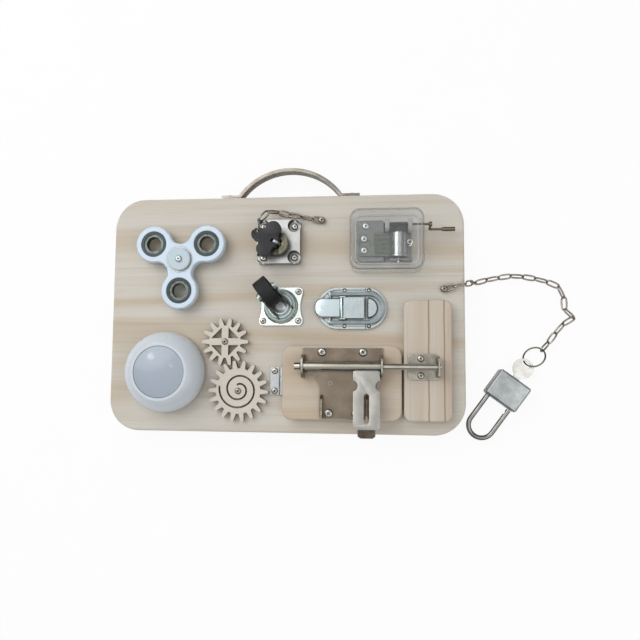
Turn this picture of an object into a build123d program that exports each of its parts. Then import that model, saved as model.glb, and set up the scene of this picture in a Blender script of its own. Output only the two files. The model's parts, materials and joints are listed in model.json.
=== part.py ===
from build123d import *

import os
from math import acos, atan2, ceil, cos, degrees, hypot, pi, radians, sin, sqrt

# A wooden busy board: a pine panel with a carrying handle that holds a spinner, a push light,
# a pair of wooden gears, a cabinet lock with a folding key, a swivel castor, a toggle latch,
# a hand-cranked music movement, a small door with a padbolt, and a padlock on a chain.
# The board lies on its back. The origin is the centre of its back face, +X runs along its
# length, +Y points to the handle and +Z out of the front. Lengths are in millimetres.

# Values shared by every piece
QUARTER_TURN = 90.0  # degrees
OVERRUN = 1.0  # how far a cutting shape passes the surface that it cuts
RUNNING = 0.05  # play on the radius of a shaft in its bore
HOLE_PLAY = 0.25  # play on the radius of a screw in a plate's hole
AIR = 0.3  # space between two pieces that pass each other
CROWN_SHARE = 0.6  # width of a screw head's top, as a share of its foot

# Screws, by radius
SMALL_HEAD = 2.7
SMALL_RISE = 1.3
SMALL_SHANK = 1.2
SMALL_LENGTH = 9.0
LARGE_HEAD = 3.5
LARGE_RISE = 1.5
LARGE_SHANK = 1.6
LARGE_LENGTH = 11.0

# Board
BOARD_LENGTH = 300.0
BOARD_WIDTH = 200.0
BOARD_THICKNESS = 18.0
BOARD_CORNER = 26.0
BOARD_EDGE_ROUND = 2.0

# Carrying handle, a bent strap on the board's upper edge
HANDLE_X = 3.5
HANDLE_SPAN = 94.0
HANDLE_RISE = 26.2
HANDLE_STRAP = 3.0
HANDLE_WIDTH = 10.0
HANDLE_FOOT = 13.0

# Spinner
SPINNER_X = -87.7
SPINNER_Y = 44.7
SPINNER_REACH = 26.5  # from the middle to the centre of a lobe
SPINNER_LOBE = 15.5
SPINNER_WAIST = 13.5
SPINNER_THICKNESS = 7.0
SPINNER_STANDOFF = 4.0
SPINNER_CHAMFER = 0.8
SPINNER_TURN = 30.0
SPINNER_LOBES = 3
BEARING_OUTER = 11.0
BEARING_RACE = 1.8
BEARING_INNER = 6.0
BEARING_BORE = 4.0
BEARING_SHIELD = 0.5
WEIGHT_HOLE = 6.2
WEIGHT_RIM = 8.4
WEIGHT_STEP = 0.6
SPINNER_CAP = 10.0
SPINNER_CAP_THICKNESS = 2.4
SPINNER_SCREW_HEAD = 2.8

# Push light
LIGHT_X = -99.0
LIGHT_Y = -50.0
LIGHT_RADIUS = 33.5
LIGHT_HEIGHT = 23.6
LIGHT_WALL = 2.2
LIGHT_OUTLINE_SHARES = [(0.955, 0.0), (0.99, 0.16), (1.0, 0.38), (0.955, 0.63), (0.86, 0.83)]
LENS_RADIUS = 21.0
LENS_WALL = 1.6
LENS_CROWN = 2.2
LENS_SKIRT = 4.2
LENS_FLANGE = 2.0
LENS_TRAVEL = 2.5
LIGHT_BASE_THICKNESS = 2.0
CIRCUIT_HEIGHT = 13.0
CIRCUIT_RADIUS = 23.5
CIRCUIT_THICKNESS = 1.2
CIRCUIT_POST = 1.8
LED_SIZE = 3.0
LED_HEIGHT = 1.0
LED_CIRCLE = 12.0
SWITCH_RADIUS = 2.6

# Wooden gears
GEAR_MODULE = 2.67
SMALL_TEETH = 14
LARGE_TEETH = 18
GEAR_ADDENDUM = 1.35
GEAR_TOOTH_DEPTH = 6.5
TOOTH_TIP = 1.45
TOOTH_ROOT = 2.35
GEAR_THICKNESS = 3.0
GEAR_WASHER = 5.0
GEAR_WASHER_THICKNESS = 2.0
GEAR_SIDE_GAP = 2.8  # between the light and the small gear's teeth
GEAR_DIRECTION = 26.9
GEAR_LINE = -73.8  # direction from the small gear to the large one
GEAR_HEAD = 2.7
GEAR_HEAD_RISE = 1.3
SPOKE_HALF = 2.9
WINDOW_LEG = 8.9
SPIRAL_START = 4.3
SPIRAL_END = 16.6
SPIRAL_WIDTH = 1.5
SPIRAL_FROM = 111.0
SPIRAL_SWEEP = 661.0
SPIRAL_X = 0.5
SPIRAL_Y = 1.2
SPIRAL_STEP = 14.0

# Cabinet lock with a folding key
LOCK_X = -4.0
LOCK_Y = 59.5
LOCK_LENGTH = 36.6
LOCK_WIDTH = 37.0
LOCK_HEIGHT = 8.0
LOCK_CORNER = 3.0
LOCK_POCKET = 5.4
LOCK_POCKET_FLOOR = 3.4
LOCK_SCREW_SPACING = 26.4
LOCK_BARREL = 9.3
LOCK_BARREL_RISE = 9.0
LOCK_BARREL_Y = -3.3  # from the middle of the case to the barrel
LOCK_PLUG = 6.4
LOCK_FLOOR = 1.2
BOLT_TONGUE_WIDTH = 13.0
BOLT_TONGUE_THICKNESS = 3.6
BOLT_TONGUE_LENGTH = 19.0
BOLT_TONGUE_TRAVEL = 7.0
KEY_DIRECTION = 155.0
KEY_BLADE_WIDTH = 7.0
KEY_BLADE_THICKNESS = 2.2
KEY_BLADE_DEPTH = 9.0
KEY_PIVOT_RISE = 3.9  # from the barrel's face to the key's hinge pin
KEY_PIN = 1.1
KEY_BOW_THICKNESS = 5.4
KEY_TIP_REACH = 15.3
KEY_TIP_LOBE = 5.9
KEY_SIDE_REACH = 6.2
KEY_SIDE_SPREAD = 9.2
KEY_SIDE_LOBE = 6.1
KEY_ROOT_WIDTH = 9.4
KEY_EYE = 1.5
KEY_EYE_OFFSET = 3.5
KEY_EYE_DIRECTION = 100.0
KEY_EYE_POCKET = 4.2
KEY_EYE_WEB = 1.6

# Chain links, shared by both chains
LINK_WIRE = 0.65
LINK_PITCH = 10.0
LINK_SLACK = 0.25
LINK_WIDTH = 5.8
LINK_SIDES = 8
LINK_BEND_STEPS = 4
CHAIN_SEAT = 2.9  # from the board to the head of the screw that holds a chain
KEY_CHAIN_X = 32.0
KEY_CHAIN_Y = 78.4
PADLOCK_CHAIN_INSET = 17.0  # from the board's end
PADLOCK_CHAIN_Y = 19.5
# Routes from the screw on, in link pitches
KEY_CHAIN_SHARES = [
    (0.2, -0.03, 0.12),
    (-1.0, 0.12, 0.3),
    (-1.95, 0.36, 0.3),
    (-2.9, 0.5, 0.3),
    (-3.75, 0.74, 0.34),
    (-4.45, 0.62, 0.95),
    (-5.35, -0.46, 1.4),
]
PADLOCK_CHAIN_SHARES = [
    (-0.2, -0.04, 0.12),
    (0.83, 0.18, 0.3),
    (1.82, 0.41, 0.3),
    (2.4, 0.57, -0.48),
    (2.78, 0.68, -1.38),
    (3.74, 0.94, -1.54),
    (4.72, 1.14, -1.54),
    (5.71, 1.27, -1.54),
    (6.71, 1.21, -1.54),
    (7.69, 1.02, -1.54),
    (8.66, 0.77, -1.54),
    (9.56, 0.34, -1.54),
    (9.99, -0.62, -1.54),
    (9.99, -1.68, -1.54),
    (10.78, -2.29, -1.54),
    (9.89, -2.77, -1.54),
    (9.22, -3.51, -1.54),
    (8.63, -4.32, -1.4),
    (7.86, -5.06, -1.07),
]
KEY_LINK_RISE_SHARE = -0.25  # height that the key's own link loses along its length

# Swivel castor
CASTOR_X = -2.2
CASTOR_Y = 5.4
CASTOR_PLATE_LENGTH = 37.0
CASTOR_PLATE_WIDTH = 32.0
CASTOR_PLATE_THICKNESS = 1.6
CASTOR_PLATE_CORNER = 3.5
CASTOR_SCALLOP = 30.0
CASTOR_SCALLOP_DEPTH = 2.0
CASTOR_HOLES_LENGTH = 29.7
CASTOR_HOLES_WIDTH = 24.4
CASTOR_RACE = 14.6
CASTOR_RACE_HEIGHT = 2.6
CASTOR_CROWN = 13.0
CASTOR_CROWN_THICKNESS = 1.8
CASTOR_RIDGE = 10.6
CASTOR_RIDGE_WIDTH = 1.4
CASTOR_RIDGE_RISE = 0.8
CASTOR_RIVET = 3.0
CASTOR_RIVET_HEAD = 5.9
CASTOR_RIVET_RISE = 1.6
CASTOR_TRAIL = 12.0
CASTOR_DIRECTION = 128.5
CASTOR_AXLE_HEIGHT = 24.0  # from the board to the wheel's axle
CASTOR_LEG_THICKNESS = 1.6
CASTOR_LEG_EYE = 4.2
CASTOR_LEG_GAP = 0.5
WHEEL_RADIUS = 12.5
WHEEL_WIDTH = 11.6
WHEEL_ROUND = 1.2
WHEEL_HUB = 5.5
AXLE_RADIUS = 2.0
AXLE_HEAD = 3.4
AXLE_HEAD_THICKNESS = 1.2

# Toggle latch
LATCH_X = 57.4
LATCH_Y = 3.7
LATCH_LENGTH = 57.5
LATCH_WIDTH = 34.5
LATCH_PLATE = 1.4
LATCH_SEAM_INSET = 17.15  # from the plate's rounded end
LATCH_SEAM = 0.6
LATCH_RIM = 1.0
LATCH_RIM_WIDTH = 1.8
LATCH_PIVOT_X = -8.3
LATCH_PIVOT_HEIGHT = 5.6
LATCH_PIN = 0.8
LATCH_KNUCKLE = 1.4
LATCH_BRIDGE_WIDTH = 17.2
LATCH_BRIDGE_HEIGHT = 6.6
LATCH_BRIDGE_START = -6.6
LATCH_BRIDGE_INSET = 18.55
LATCH_EAR = 1.2
LEVER_WIDTH = 16.3
LEVER_TIP_OVERHANG = 2.05  # past the plate's other end
LEVER_THICKNESS = 3.2
LEVER_UNDERSIDE = 3.0
LEVER_TIP_ROUND = 7.0
LOOP_PIVOT_X = -17.8
LOOP_PIVOT_HEIGHT = 4.3
LOOP_HALF = 10.4
LOOP_STRIP = 2.7
LOOP_THICKNESS = 1.6
LOOP_END_INSET = 14.55
LOOP_STUB = 0.9
CATCH_INSET = 15.75
CATCH_HALF = 8.6
CATCH_HEIGHT = 4.6
LATCH_NAIL_HEAD = 1.6
LATCH_NAIL_RISE = 0.7
LATCH_NAIL_SHANK = 0.8
LATCH_NAIL_LENGTH = 8.0
LATCH_NAIL_Y = 14.8
LATCH_NAIL_LEFT = -6.0
LATCH_NAIL_INSET = 14.55

# Music movement in its clear case
MUSIC_X = 86.2
MUSIC_Y = 57.9
MUSIC_LENGTH = 59.4
MUSIC_WIDTH = 49.8
MUSIC_HEIGHT = 23.0
MUSIC_CORNER = 8.0
MUSIC_WALL = 1.8
MUSIC_TOP_ROUND = 1.2
FRAME_LEFT = -26.0
FRAME_RIGHT = 20.5
FRAME_FRONT = -16.1
FRAME_BACK = 17.9
FRAME_THICKNESS = 1.6
FRAME_DECK_RIGHT = -2.6
FRAME_DECK_HEIGHT = 8.0
DRUM_X = 9.6
DRUM_HEIGHT = 9.6  # from the board to the drum's axis
DRUM_RADIUS = 6.0
DRUM_FRONT = -11.6
DRUM_BACK = 6.8
DRUM_SHAFT = 1.2
DRUM_FLANGE = 6.8
DRUM_GEAR_WIDTH = 4.0
DRUM_GEAR_RADIUS = 6.6
DRUM_GEAR_TEETH = 24
DRUM_TOOTH = 0.7
CHEEK_THICKNESS = 1.5
COMB_LEFT = -21.8
COMB_RIGHT = 2.7
COMB_FRONT = -12.2
COMB_BACK = 7.0
COMB_THICKNESS = 1.2
COMB_TEETH = 18
COMB_SLIT = 0.35
COMB_SLIT_LENGTH = 13.0
COMB_SCREW_X = -18.4
COMB_SCREW_SPACING = 9.6
DECK_SCREW_X = -17.0
DECK_SCREW_Y = 13.2
WORM_RADIUS = 1.6
CRANK_SHAFT = 1.0
CRANK_Y = 11.9
CRANK_HEIGHT = 18.1
CRANK_OUT = 33.6
CRANK_ARM = 9.0
CRANK_REACH = 44.7
CRANK_TURN = -105.0  # of the arm about +X, from +Y
CRANK_WIRE = 1.0
CRANK_GRIP = 1.8
CRANK_GRIP_LENGTH = 10.4
CRANK_COLLAR = 2.0
CRANK_COLLAR_LENGTH = 1.2

# Door, its hinge, and the block that it bolts to
DOOR_X = 0.8
DOOR_Y = -88.0
DOOR_LENGTH = 97.4
DOOR_WIDTH = 60.0
DOOR_THICKNESS = 10.0
DOOR_CORNER = 8.0
DOOR_ROUND = 1.5
DOOR_GAP = 1.6
BLOCK_LENGTH = 38.4
BLOCK_WIDTH = 97.6
BLOCK_CORNER = 6.0
HINGE_Y = -56.9
HINGE_WIDTH = 23.0
HINGE_LEAF = 9.4
HINGE_THICKNESS = 1.1
HINGE_DOOR_LEAF = 7.2
HINGE_KNUCKLE = 1.6
HINGE_PIN = 0.75
HINGE_KNUCKLES = 3
HINGE_KNUCKLE_GAP = 0.3
HINGE_SCREW_SPACING = 16.6
HINGE_SCREW_X = 5.6  # from the pin

# Padbolt on the door
PADBOLT_X = 18.0
PADBOLT_LENGTH = 65.0
PADBOLT_TOP = -29.5
PADBOLT_SHOULDER = -49.3
PADBOLT_WAIST = -63.7
PADBOLT_FOOT = -86.8
PADBOLT_INSET_LEFT = 14.0
PADBOLT_INSET_RIGHT = 5.0
PADBOLT_PLATE = 1.5
ROD_Y = -44.6
ROD_RISE = 7.5
ROD_RADIUS = 2.7
ROD_TIP = 129.2
KNOB_RADIUS = 3.35
KNOB_LENGTH = 4.6
KNOB_CLEAR = 1.0
BARREL_RADIUS = 4.3
BARREL_WALL = 0.6
BARREL_SLOT_LOW = 28.0  # how far the slot that the hasp moves in goes down, and up
BARREL_SLOT_HIGH = 66.0
EAR_THICKNESS = 1.5
EAR_HALF = 9.6
EAR_RISE = 13.0
COLLAR_RADIUS = 3.4
COLLAR_LENGTH = 1.3
HASP_X = 70.1
HASP_WIDTH = 21.0
HASP_THICKNESS = 1.5
HASP_LIFT = 6.0  # at rest, clear of the staples
HASP_SLEEVE = 3.4
HASP_LENGTH = 49.3  # from the rod's axis to the bend of the lip
HASP_NECK_AT = 15.4
HASP_NECK_BITE = 4.4
HASP_NECK_HALF = 7.0
HASP_CORNER = 2.2
HASP_SLOT_WIDTH = 4.4
HASP_SLOT_START = 21.4
HASP_SLOT_END = 45.2
HASP_LIP_WIDTH = 14.0
HASP_LIP_LENGTH = 9.6
HASP_LIP_BEND = 42.0
STAPLE_WIRE = 1.0
STAPLE_START = 23.0
STAPLE_LENGTH = 19.0
STAPLE_HEIGHT = 8.2
STAPLE_BEND = 2.4
BOLT_TRAVEL = 36.3
PADBOLT_SCREW_TOP = -33.0
PADBOLT_SCREW_LOW = -82.4
PADBOLT_SCREW_TOP_LEFT = 33.7
PADBOLT_SCREW_TOP_RIGHT = 67.1
PADBOLT_SCREW_LOW_LEFT = 39.4
PADBOLT_SCREW_LOW_RIGHT = 61.3
PADBOLT_SPARE_X = 27.0
PADBOLT_SPARE_Y = -54.8
PADBOLT_SPARE_HOLE = 2.2
KEEPER_INSET = 3.4
KEEPER_LENGTH = 24.0
KEEPER_WIDTH = 20.6
KEEPER_PLATE = 1.2
KEEPER_FLANGE = 14.0
KEEPER_CORNER = 2.0
KEEPER_SCREW_X = 10.0
KEEPER_SCREW_SPACING = 13.6

# Padlock, its key and its ring, which lie on the table beside the board
PADLOCK_DIRECTION = 233.7  # that the shackle points in
PADLOCK_LENGTH = 23.5
PADLOCK_WIDTH = 29.0
PADLOCK_THICKNESS = 14.0
PADLOCK_CHAMFER = 1.2
SHACKLE_WIRE = 2.0
SHACKLE_HALF = 10.3
SHACKLE_REACH = 36.0
SHACKLE_DEPTH = 15.0
SHACKLE_TOE_GAP = 0.8
SHACKLE_NOTCH = 1.2
SHACKLE_NOTCH_AT = 3.6
PLUG_RADIUS = 4.2
PLUG_LENGTH = 12.0
PADLOCK_KEY_WIDTH = 6.0
PADLOCK_KEY_THICKNESS = 1.8
PADLOCK_KEY_DEPTH = 10.0
PADLOCK_BOW = 8.2
PADLOCK_BOW_NECK = 2.4
PADLOCK_EYE_LENGTH = 7.6
PADLOCK_EYE_WIDTH = 3.8
PADLOCK_EYE_EDGE = 3.9
RING_RADIUS = 8.9
RING_WIRE = 0.75
RING_TILT = -40.0
RING_SIDES = 8
RING_DIRECTION = 43.0  # from the key's bow to the middle of the ring

# Lengths that follow from the ones above
TOP = BOARD_THICKNESS
DOOR_TOP = TOP + DOOR_THICKNESS
FLOOR = (Align.CENTER, Align.CENTER, Align.MIN)
ALONG_X = Rot(0, 90, 0)
ALONG_Y = Rot(-90, 0, 0)

parts = {}


def bar(radius, bottom, top, x=0, y=0):
    """An upright round bar between two heights."""
    return Pos(x, y, bottom) * Cylinder(radius, top - bottom, align=FLOOR)


def tube(outer, inner, bottom, top, x=0, y=0):
    """An upright round bar with a bore through it."""
    return bar(outer, bottom, top, x, y) - bar(inner, bottom - OVERRUN, top + OVERRUN, x, y)


def bar_x(radius, start, end, y, z):
    """A round bar along the board's length."""
    return Pos(start, y, z) * ALONG_X * Cylinder(radius, end - start, align=FLOOR)


def bar_y(radius, start, end, x, z):
    """A round bar across the board."""
    return Pos(x, start, z) * ALONG_Y * Cylinder(radius, end - start, align=FLOOR)


def box(left, right, front, back, bottom, top):
    """A block between two values on each axis."""
    size = (right - left, back - front, top - bottom)
    return Pos((left + right) / 2, (front + back) / 2, bottom) * Box(*size, align=FLOOR)


def panel(length, width, corner, bottom, top, x=0, y=0):
    """A flat plate with rounded corners."""
    outline = RectangleRounded(length, width, corner)
    return Pos(x, y, bottom) * extrude(outline, amount=top - bottom)


def raised(sketch, bottom, top, x=0, y=0, turn=0):
    """A flat outline given a thickness between two heights."""
    return Pos(x, y, bottom) * Rot(0, 0, turn) * extrude(sketch, amount=top - bottom)


def wood_screw(head, rise, shank, length):
    """A round-headed screw whose head sits on the plane z = 0."""
    crown = Cone(head, head * CROWN_SHARE, rise, align=FLOOR)
    return crown + bar(shank, -length, 0)


def grid(length, width):
    """The four corners of a rectangle about the origin."""
    return [(i * length / 2, j * width / 2) for i in (-1, 1) for j in (-1, 1)]


def ring_of(count, radius, start=0):
    """Places spread evenly round a circle, as x, y and the angle."""
    angles = [start + 360 * i / count for i in range(count)]
    return [(radius * cos(radians(a)), radius * sin(radians(a)), a) for a in angles]


def group(solids):
    """Several separate solids as one node."""
    return Compound(children=list(solids))


small_screw = wood_screw(SMALL_HEAD, SMALL_RISE, SMALL_SHANK, SMALL_LENGTH)
large_screw = wood_screw(LARGE_HEAD, LARGE_RISE, LARGE_SHANK, LARGE_LENGTH)
small_screws = []

# Board
board = panel(BOARD_LENGTH, BOARD_WIDTH, BOARD_CORNER, 0, TOP)
board_faces = board.faces().sort_by(Axis.Z)
parts["board"] = fillet(board_faces[0].edges() + board_faces[-1].edges(), BOARD_EDGE_ROUND)

# Handle: an arch of flat strap between two feet
handle_base = BOARD_WIDTH / 2
handle_radius = (HANDLE_SPAN**2 / 4 + HANDLE_RISE**2) / (2 * HANDLE_RISE)
arch = Circle(handle_radius) - Circle(handle_radius - HANDLE_STRAP)
arch = Pos(0, HANDLE_RISE - handle_radius) * arch
arch &= Rectangle(2 * handle_radius, 2 * HANDLE_RISE, align=(Align.CENTER, Align.MIN))
foot_length = HANDLE_FOOT + HANDLE_STRAP
foot_middle = HANDLE_SPAN / 2 + HANDLE_FOOT / 2 - HANDLE_STRAP / 2
foot = Rectangle(foot_length, HANDLE_STRAP, align=(Align.CENTER, Align.MIN))
handle_outline = arch + [Pos(side * foot_middle, 0) * foot for side in (-1, 1)]
handle_bottom = (TOP - HANDLE_WIDTH) / 2
handle = raised(handle_outline, handle_bottom, handle_bottom + HANDLE_WIDTH, HANDLE_X, handle_base)
handle_screw_x = HANDLE_SPAN / 2 + HANDLE_FOOT / 2
handle_screws = []
for side in (-1, 1):
    x = HANDLE_X + side * handle_screw_x
    end = handle_base + HANDLE_STRAP
    handle -= bar_y(SMALL_SHANK + HOLE_PLAY, handle_base - OVERRUN, end + OVERRUN, x, TOP / 2)
    handle_screws.append(Pos(x, end, TOP / 2) * ALONG_Y * small_screw)
parts["handle"] = handle
small_screws += handle_screws

# Spinner: a waisted body that turns on a ball race about a fixed screw
spinner_bottom = TOP + SPINNER_STANDOFF
spinner_top = spinner_bottom + SPINNER_THICKNESS
waist_radius = (
    SPINNER_LOBE**2 - SPINNER_WAIST**2 - SPINNER_REACH**2 + SPINNER_WAIST * SPINNER_REACH
) / (2 * SPINNER_WAIST - SPINNER_REACH - 2 * SPINNER_LOBE)
waist_centre = waist_radius + SPINNER_WAIST
lobes = ring_of(SPINNER_LOBES, SPINNER_REACH, SPINNER_TURN)
waists = ring_of(SPINNER_LOBES, waist_centre, SPINNER_TURN + 180 / SPINNER_LOBES)
corners = [(p[0], p[1]) for pair in zip(lobes, waists) for p in pair]
spinner_outline = make_face(Polyline(*corners, close=True).edges())
spinner_outline += [Pos(x, y) * Circle(SPINNER_LOBE) for x, y, _ in lobes]
spinner_outline -= [Pos(x, y) * Circle(waist_radius) for x, y, _ in waists]
spinner = extrude(spinner_outline, amount=SPINNER_THICKNESS)
spinner_faces = spinner.faces().sort_by(Axis.Z)
spinner = chamfer(spinner_faces[0].edges() + spinner_faces[-1].edges(), SPINNER_CHAMFER)
spinner -= [
    bar(BEARING_OUTER, -OVERRUN, SPINNER_THICKNESS + OVERRUN, x, y) for x, y, _ in lobes
]
spinner -= bar(BEARING_OUTER, -OVERRUN, SPINNER_THICKNESS + OVERRUN)
spinner_place = Pos(SPINNER_X, SPINNER_Y, spinner_bottom)
parts["spinner_body"] = spinner_place * spinner

weight = tube(BEARING_OUTER - RUNNING, WEIGHT_HOLE, 0, SPINNER_THICKNESS)
for cut in (-OVERRUN, SPINNER_THICKNESS - WEIGHT_STEP):
    weight -= bar(WEIGHT_RIM, cut, cut + WEIGHT_STEP + OVERRUN)
parts["spinner_weights"] = group(spinner_place * Pos(x, y) * weight for x, y, _ in lobes)

race = tube(BEARING_OUTER - RUNNING, BEARING_OUTER - BEARING_RACE, 0, SPINNER_THICKNESS)
shield = tube(BEARING_OUTER - BEARING_RACE, BEARING_INNER + AIR, 0, BEARING_SHIELD)
race += [Pos(0, 0, AIR) * shield, Pos(0, 0, SPINNER_THICKNESS - AIR - BEARING_SHIELD) * shield]
parts["spinner_outer_race"] = spinner_place * race
inner_race = tube(BEARING_INNER, BEARING_BORE, 0, SPINNER_THICKNESS)
parts["spinner_inner_race"] = spinner_place * inner_race

stem = BEARING_BORE - RUNNING
stem_half = SPINNER_THICKNESS / 2 - RUNNING
upper_cap = bar(SPINNER_CAP, AIR, SPINNER_CAP_THICKNESS)
upper_cap = chamfer(upper_cap.edges().group_by(Axis.Z)[-1], SPINNER_CHAMFER)
upper_cap += bar(BEARING_INNER - AIR, 0, AIR) + bar(stem, -stem_half, 0)
upper_cap -= bar(LARGE_SHANK + HOLE_PLAY, -SPINNER_THICKNESS, SPINNER_THICKNESS)
spacer = bar(BEARING_INNER - AIR, -SPINNER_STANDOFF, 0) + bar(stem, 0, stem_half)
spacer -= bar(LARGE_SHANK + HOLE_PLAY, -SPINNER_THICKNESS, SPINNER_THICKNESS)
parts["spinner_caps"] = group(
    [spinner_place * Pos(0, 0, SPINNER_THICKNESS) * upper_cap, spinner_place * spacer]
)
spinner_screw = wood_screw(
    SPINNER_SCREW_HEAD,
    LARGE_RISE,
    LARGE_SHANK,
    SPINNER_THICKNESS + SPINNER_STANDOFF + SPINNER_CAP_THICKNESS + LARGE_LENGTH,
)
parts["spinner_screw"] = (
    Pos(SPINNER_X, SPINNER_Y, spinner_top + SPINNER_CAP_THICKNESS) * spinner_screw
)

# Push light: a turned housing on a base, with cells and a circuit under a lens that presses
lens_opening = LENS_RADIUS + AIR


def light_profile(radius, height, opening, floor):
    """The turned outline of the housing, outside or inside, as a solid."""
    curve = [(r * radius, floor + h * (height - floor)) for r, h in LIGHT_OUTLINE_SHARES]
    curve.append((opening, height))
    outline = Spline(*curve) + Polyline(
        (opening, height), (0, height), (0, floor), (curve[0][0], floor)
    )
    return revolve(Plane.XZ * make_face(outline.edges()), axis=Axis.Z)


light_place = Pos(LIGHT_X, LIGHT_Y, TOP)
housing = light_profile(LIGHT_RADIUS, LIGHT_HEIGHT, lens_opening + LIGHT_WALL, 0)
housing -= light_profile(
    LIGHT_RADIUS - LIGHT_WALL, LIGHT_HEIGHT - LIGHT_WALL, lens_opening + LIGHT_WALL, -OVERRUN
)
housing -= bar(lens_opening, 0, LIGHT_HEIGHT + OVERRUN)
parts["light_housing"] = light_place * housing
base_radius = (LIGHT_RADIUS - LIGHT_WALL) * LIGHT_OUTLINE_SHARES[0][0] - AIR
circuit_bottom = CIRCUIT_HEIGHT
post_x = CIRCUIT_RADIUS - CIRCUIT_POST
light_base = bar(base_radius, 0, LIGHT_BASE_THICKNESS)
light_base += [
    bar(CIRCUIT_POST, 0, circuit_bottom, x, y) for x, y, _ in ring_of(2, post_x)
]
parts["light_base"] = light_place * light_base
circuit_top = circuit_bottom + CIRCUIT_THICKNESS
circuit = bar(CIRCUIT_RADIUS, circuit_bottom, circuit_top)
circuit += [
    box(
        x - LED_SIZE / 2,
        x + LED_SIZE / 2,
        y - LED_SIZE / 2,
        y + LED_SIZE / 2,
        circuit_top,
        circuit_top + LED_HEIGHT,
    )
    for x, y, _ in ring_of(SPINNER_LOBES, LED_CIRCLE)
]
lens_foot = LIGHT_HEIGHT - LIGHT_WALL - AIR
lens_under = lens_foot - LENS_FLANGE
circuit += bar(SWITCH_RADIUS, circuit_top, lens_under - LENS_TRAVEL - AIR)
parts["light_circuit"] = light_place * circuit
lens_edge = lens_foot + LENS_SKIRT - LENS_FLANGE
lens_top = lens_edge + LENS_CROWN
dome_radius = (LENS_RADIUS**2 + LENS_CROWN**2) / (2 * LENS_CROWN)
half_lens = LENS_RADIUS / 2
half_sag = dome_radius - sqrt(dome_radius**2 - half_lens**2)
lens_inside = LENS_RADIUS - LENS_WALL
flange_radius = LENS_RADIUS + LIGHT_WALL
lens_line = Polyline(
    (0, lens_top),
    (0, lens_top - LENS_WALL),
)
lens_line += ThreePointArc(
    (0, lens_top - LENS_WALL),
    (half_lens, lens_top - LENS_WALL - half_sag),
    (lens_inside, lens_edge - LENS_WALL),
)
lens_line += Polyline(
    (lens_inside, lens_edge - LENS_WALL),
    (lens_inside, lens_under),
    (flange_radius, lens_under),
    (flange_radius, lens_foot),
    (LENS_RADIUS, lens_foot),
    (LENS_RADIUS, lens_edge),
)
lens_line += ThreePointArc(
    (LENS_RADIUS, lens_edge), (half_lens, lens_top - half_sag), (0, lens_top)
)
lens = revolve(Plane.XZ * make_face(lens_line.edges()), axis=Axis.Z)
lens += bar(SWITCH_RADIUS, lens_under, lens_top - LENS_WALL / 2)
parts["light_lens"] = light_place * lens

# Wooden gears: long round-tipped teeth, cut flat, with backlash
small_pitch = GEAR_MODULE * SMALL_TEETH / 2
large_pitch = GEAR_MODULE * LARGE_TEETH / 2
gear_distance = LIGHT_RADIUS + GEAR_SIDE_GAP + small_pitch + GEAR_ADDENDUM
small_x = LIGHT_X + gear_distance * cos(radians(GEAR_DIRECTION))
small_y = LIGHT_Y + gear_distance * sin(radians(GEAR_DIRECTION))
large_x = small_x + (small_pitch + large_pitch) * cos(radians(GEAR_LINE))
large_y = small_y + (small_pitch + large_pitch) * sin(radians(GEAR_LINE))
large_turn = GEAR_LINE + 180 + 180 / LARGE_TEETH + GEAR_LINE * SMALL_TEETH / LARGE_TEETH
gear_bottom = TOP + GEAR_WASHER_THICKNESS + RUNNING
gear_top = gear_bottom + GEAR_THICKNESS


def toothed(teeth):
    """The outline of a gear with straight-sided teeth that end in half circles."""
    tip = GEAR_MODULE * teeth / 2 + GEAR_ADDENDUM
    root = tip - GEAR_TOOTH_DEPTH
    inside = sqrt(root**2 - TOOTH_ROOT**2) - TOOTH_TIP
    centre = tip - TOOTH_TIP
    flank = [(inside, -TOOTH_ROOT), (centre, -TOOTH_TIP), (centre, TOOTH_TIP), (inside, TOOTH_ROOT)]
    tooth = make_face(Polyline(*flank, close=True).edges()) + Pos(centre, 0) * Circle(TOOTH_TIP)
    return Circle(root) + [Rot(0, 0, a) * tooth for _, _, a in ring_of(teeth, tip)]


small_outline = toothed(SMALL_TEETH) - Circle(LARGE_SHANK + RUNNING)
window = make_face(Polyline((0, 0), (WINDOW_LEG, 0), (0, WINDOW_LEG), close=True).edges())
for quarter in range(4):
    small_outline -= Rot(0, 0, 90 * quarter) * Pos(SPOKE_HALF, SPOKE_HALF) * window
parts["gear_small"] = raised(small_outline, gear_bottom, gear_top, small_x, small_y)


def spiral_side(offset):
    """One side of the spiral slot, which winds clockwise outwards at a steady rate."""
    steps = ceil(SPIRAL_SWEEP / SPIRAL_STEP)
    points = []
    for i in range(steps + 1):
        angle = radians(SPIRAL_FROM - SPIRAL_SWEEP * i / steps)
        radius = SPIRAL_START + (SPIRAL_END - SPIRAL_START) * i / steps + offset
        points.append((SPIRAL_X + radius * cos(angle), SPIRAL_Y + radius * sin(angle)))
    return Polyline(*points)


inner_side = spiral_side(-SPIRAL_WIDTH / 2)
outer_side = spiral_side(SPIRAL_WIDTH / 2)
slot_edges = inner_side.edges() + outer_side.edges()
slot_edges += [Line(inner_side @ 0, outer_side @ 0), Line(inner_side @ 1, outer_side @ 1)]
large_outline = toothed(LARGE_TEETH) - Circle(LARGE_SHANK + RUNNING)
large_gear = extrude(large_outline, amount=GEAR_THICKNESS)
slot_cut = extrude(make_face(slot_edges), amount=GEAR_THICKNESS + 2 * OVERRUN)
large_gear = Rot(0, 0, large_turn) * large_gear - Pos(0, 0, -OVERRUN) * slot_cut
parts["gear_large"] = Pos(large_x, large_y, gear_bottom) * large_gear
gear_places = [(small_x, small_y), (large_x, large_y)]
parts["gear_washers"] = group(
    tube(GEAR_WASHER, LARGE_SHANK + HOLE_PLAY, TOP, TOP + GEAR_WASHER_THICKNESS, x, y)
    for x, y in gear_places
)
gear_seat = gear_top + RUNNING
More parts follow.
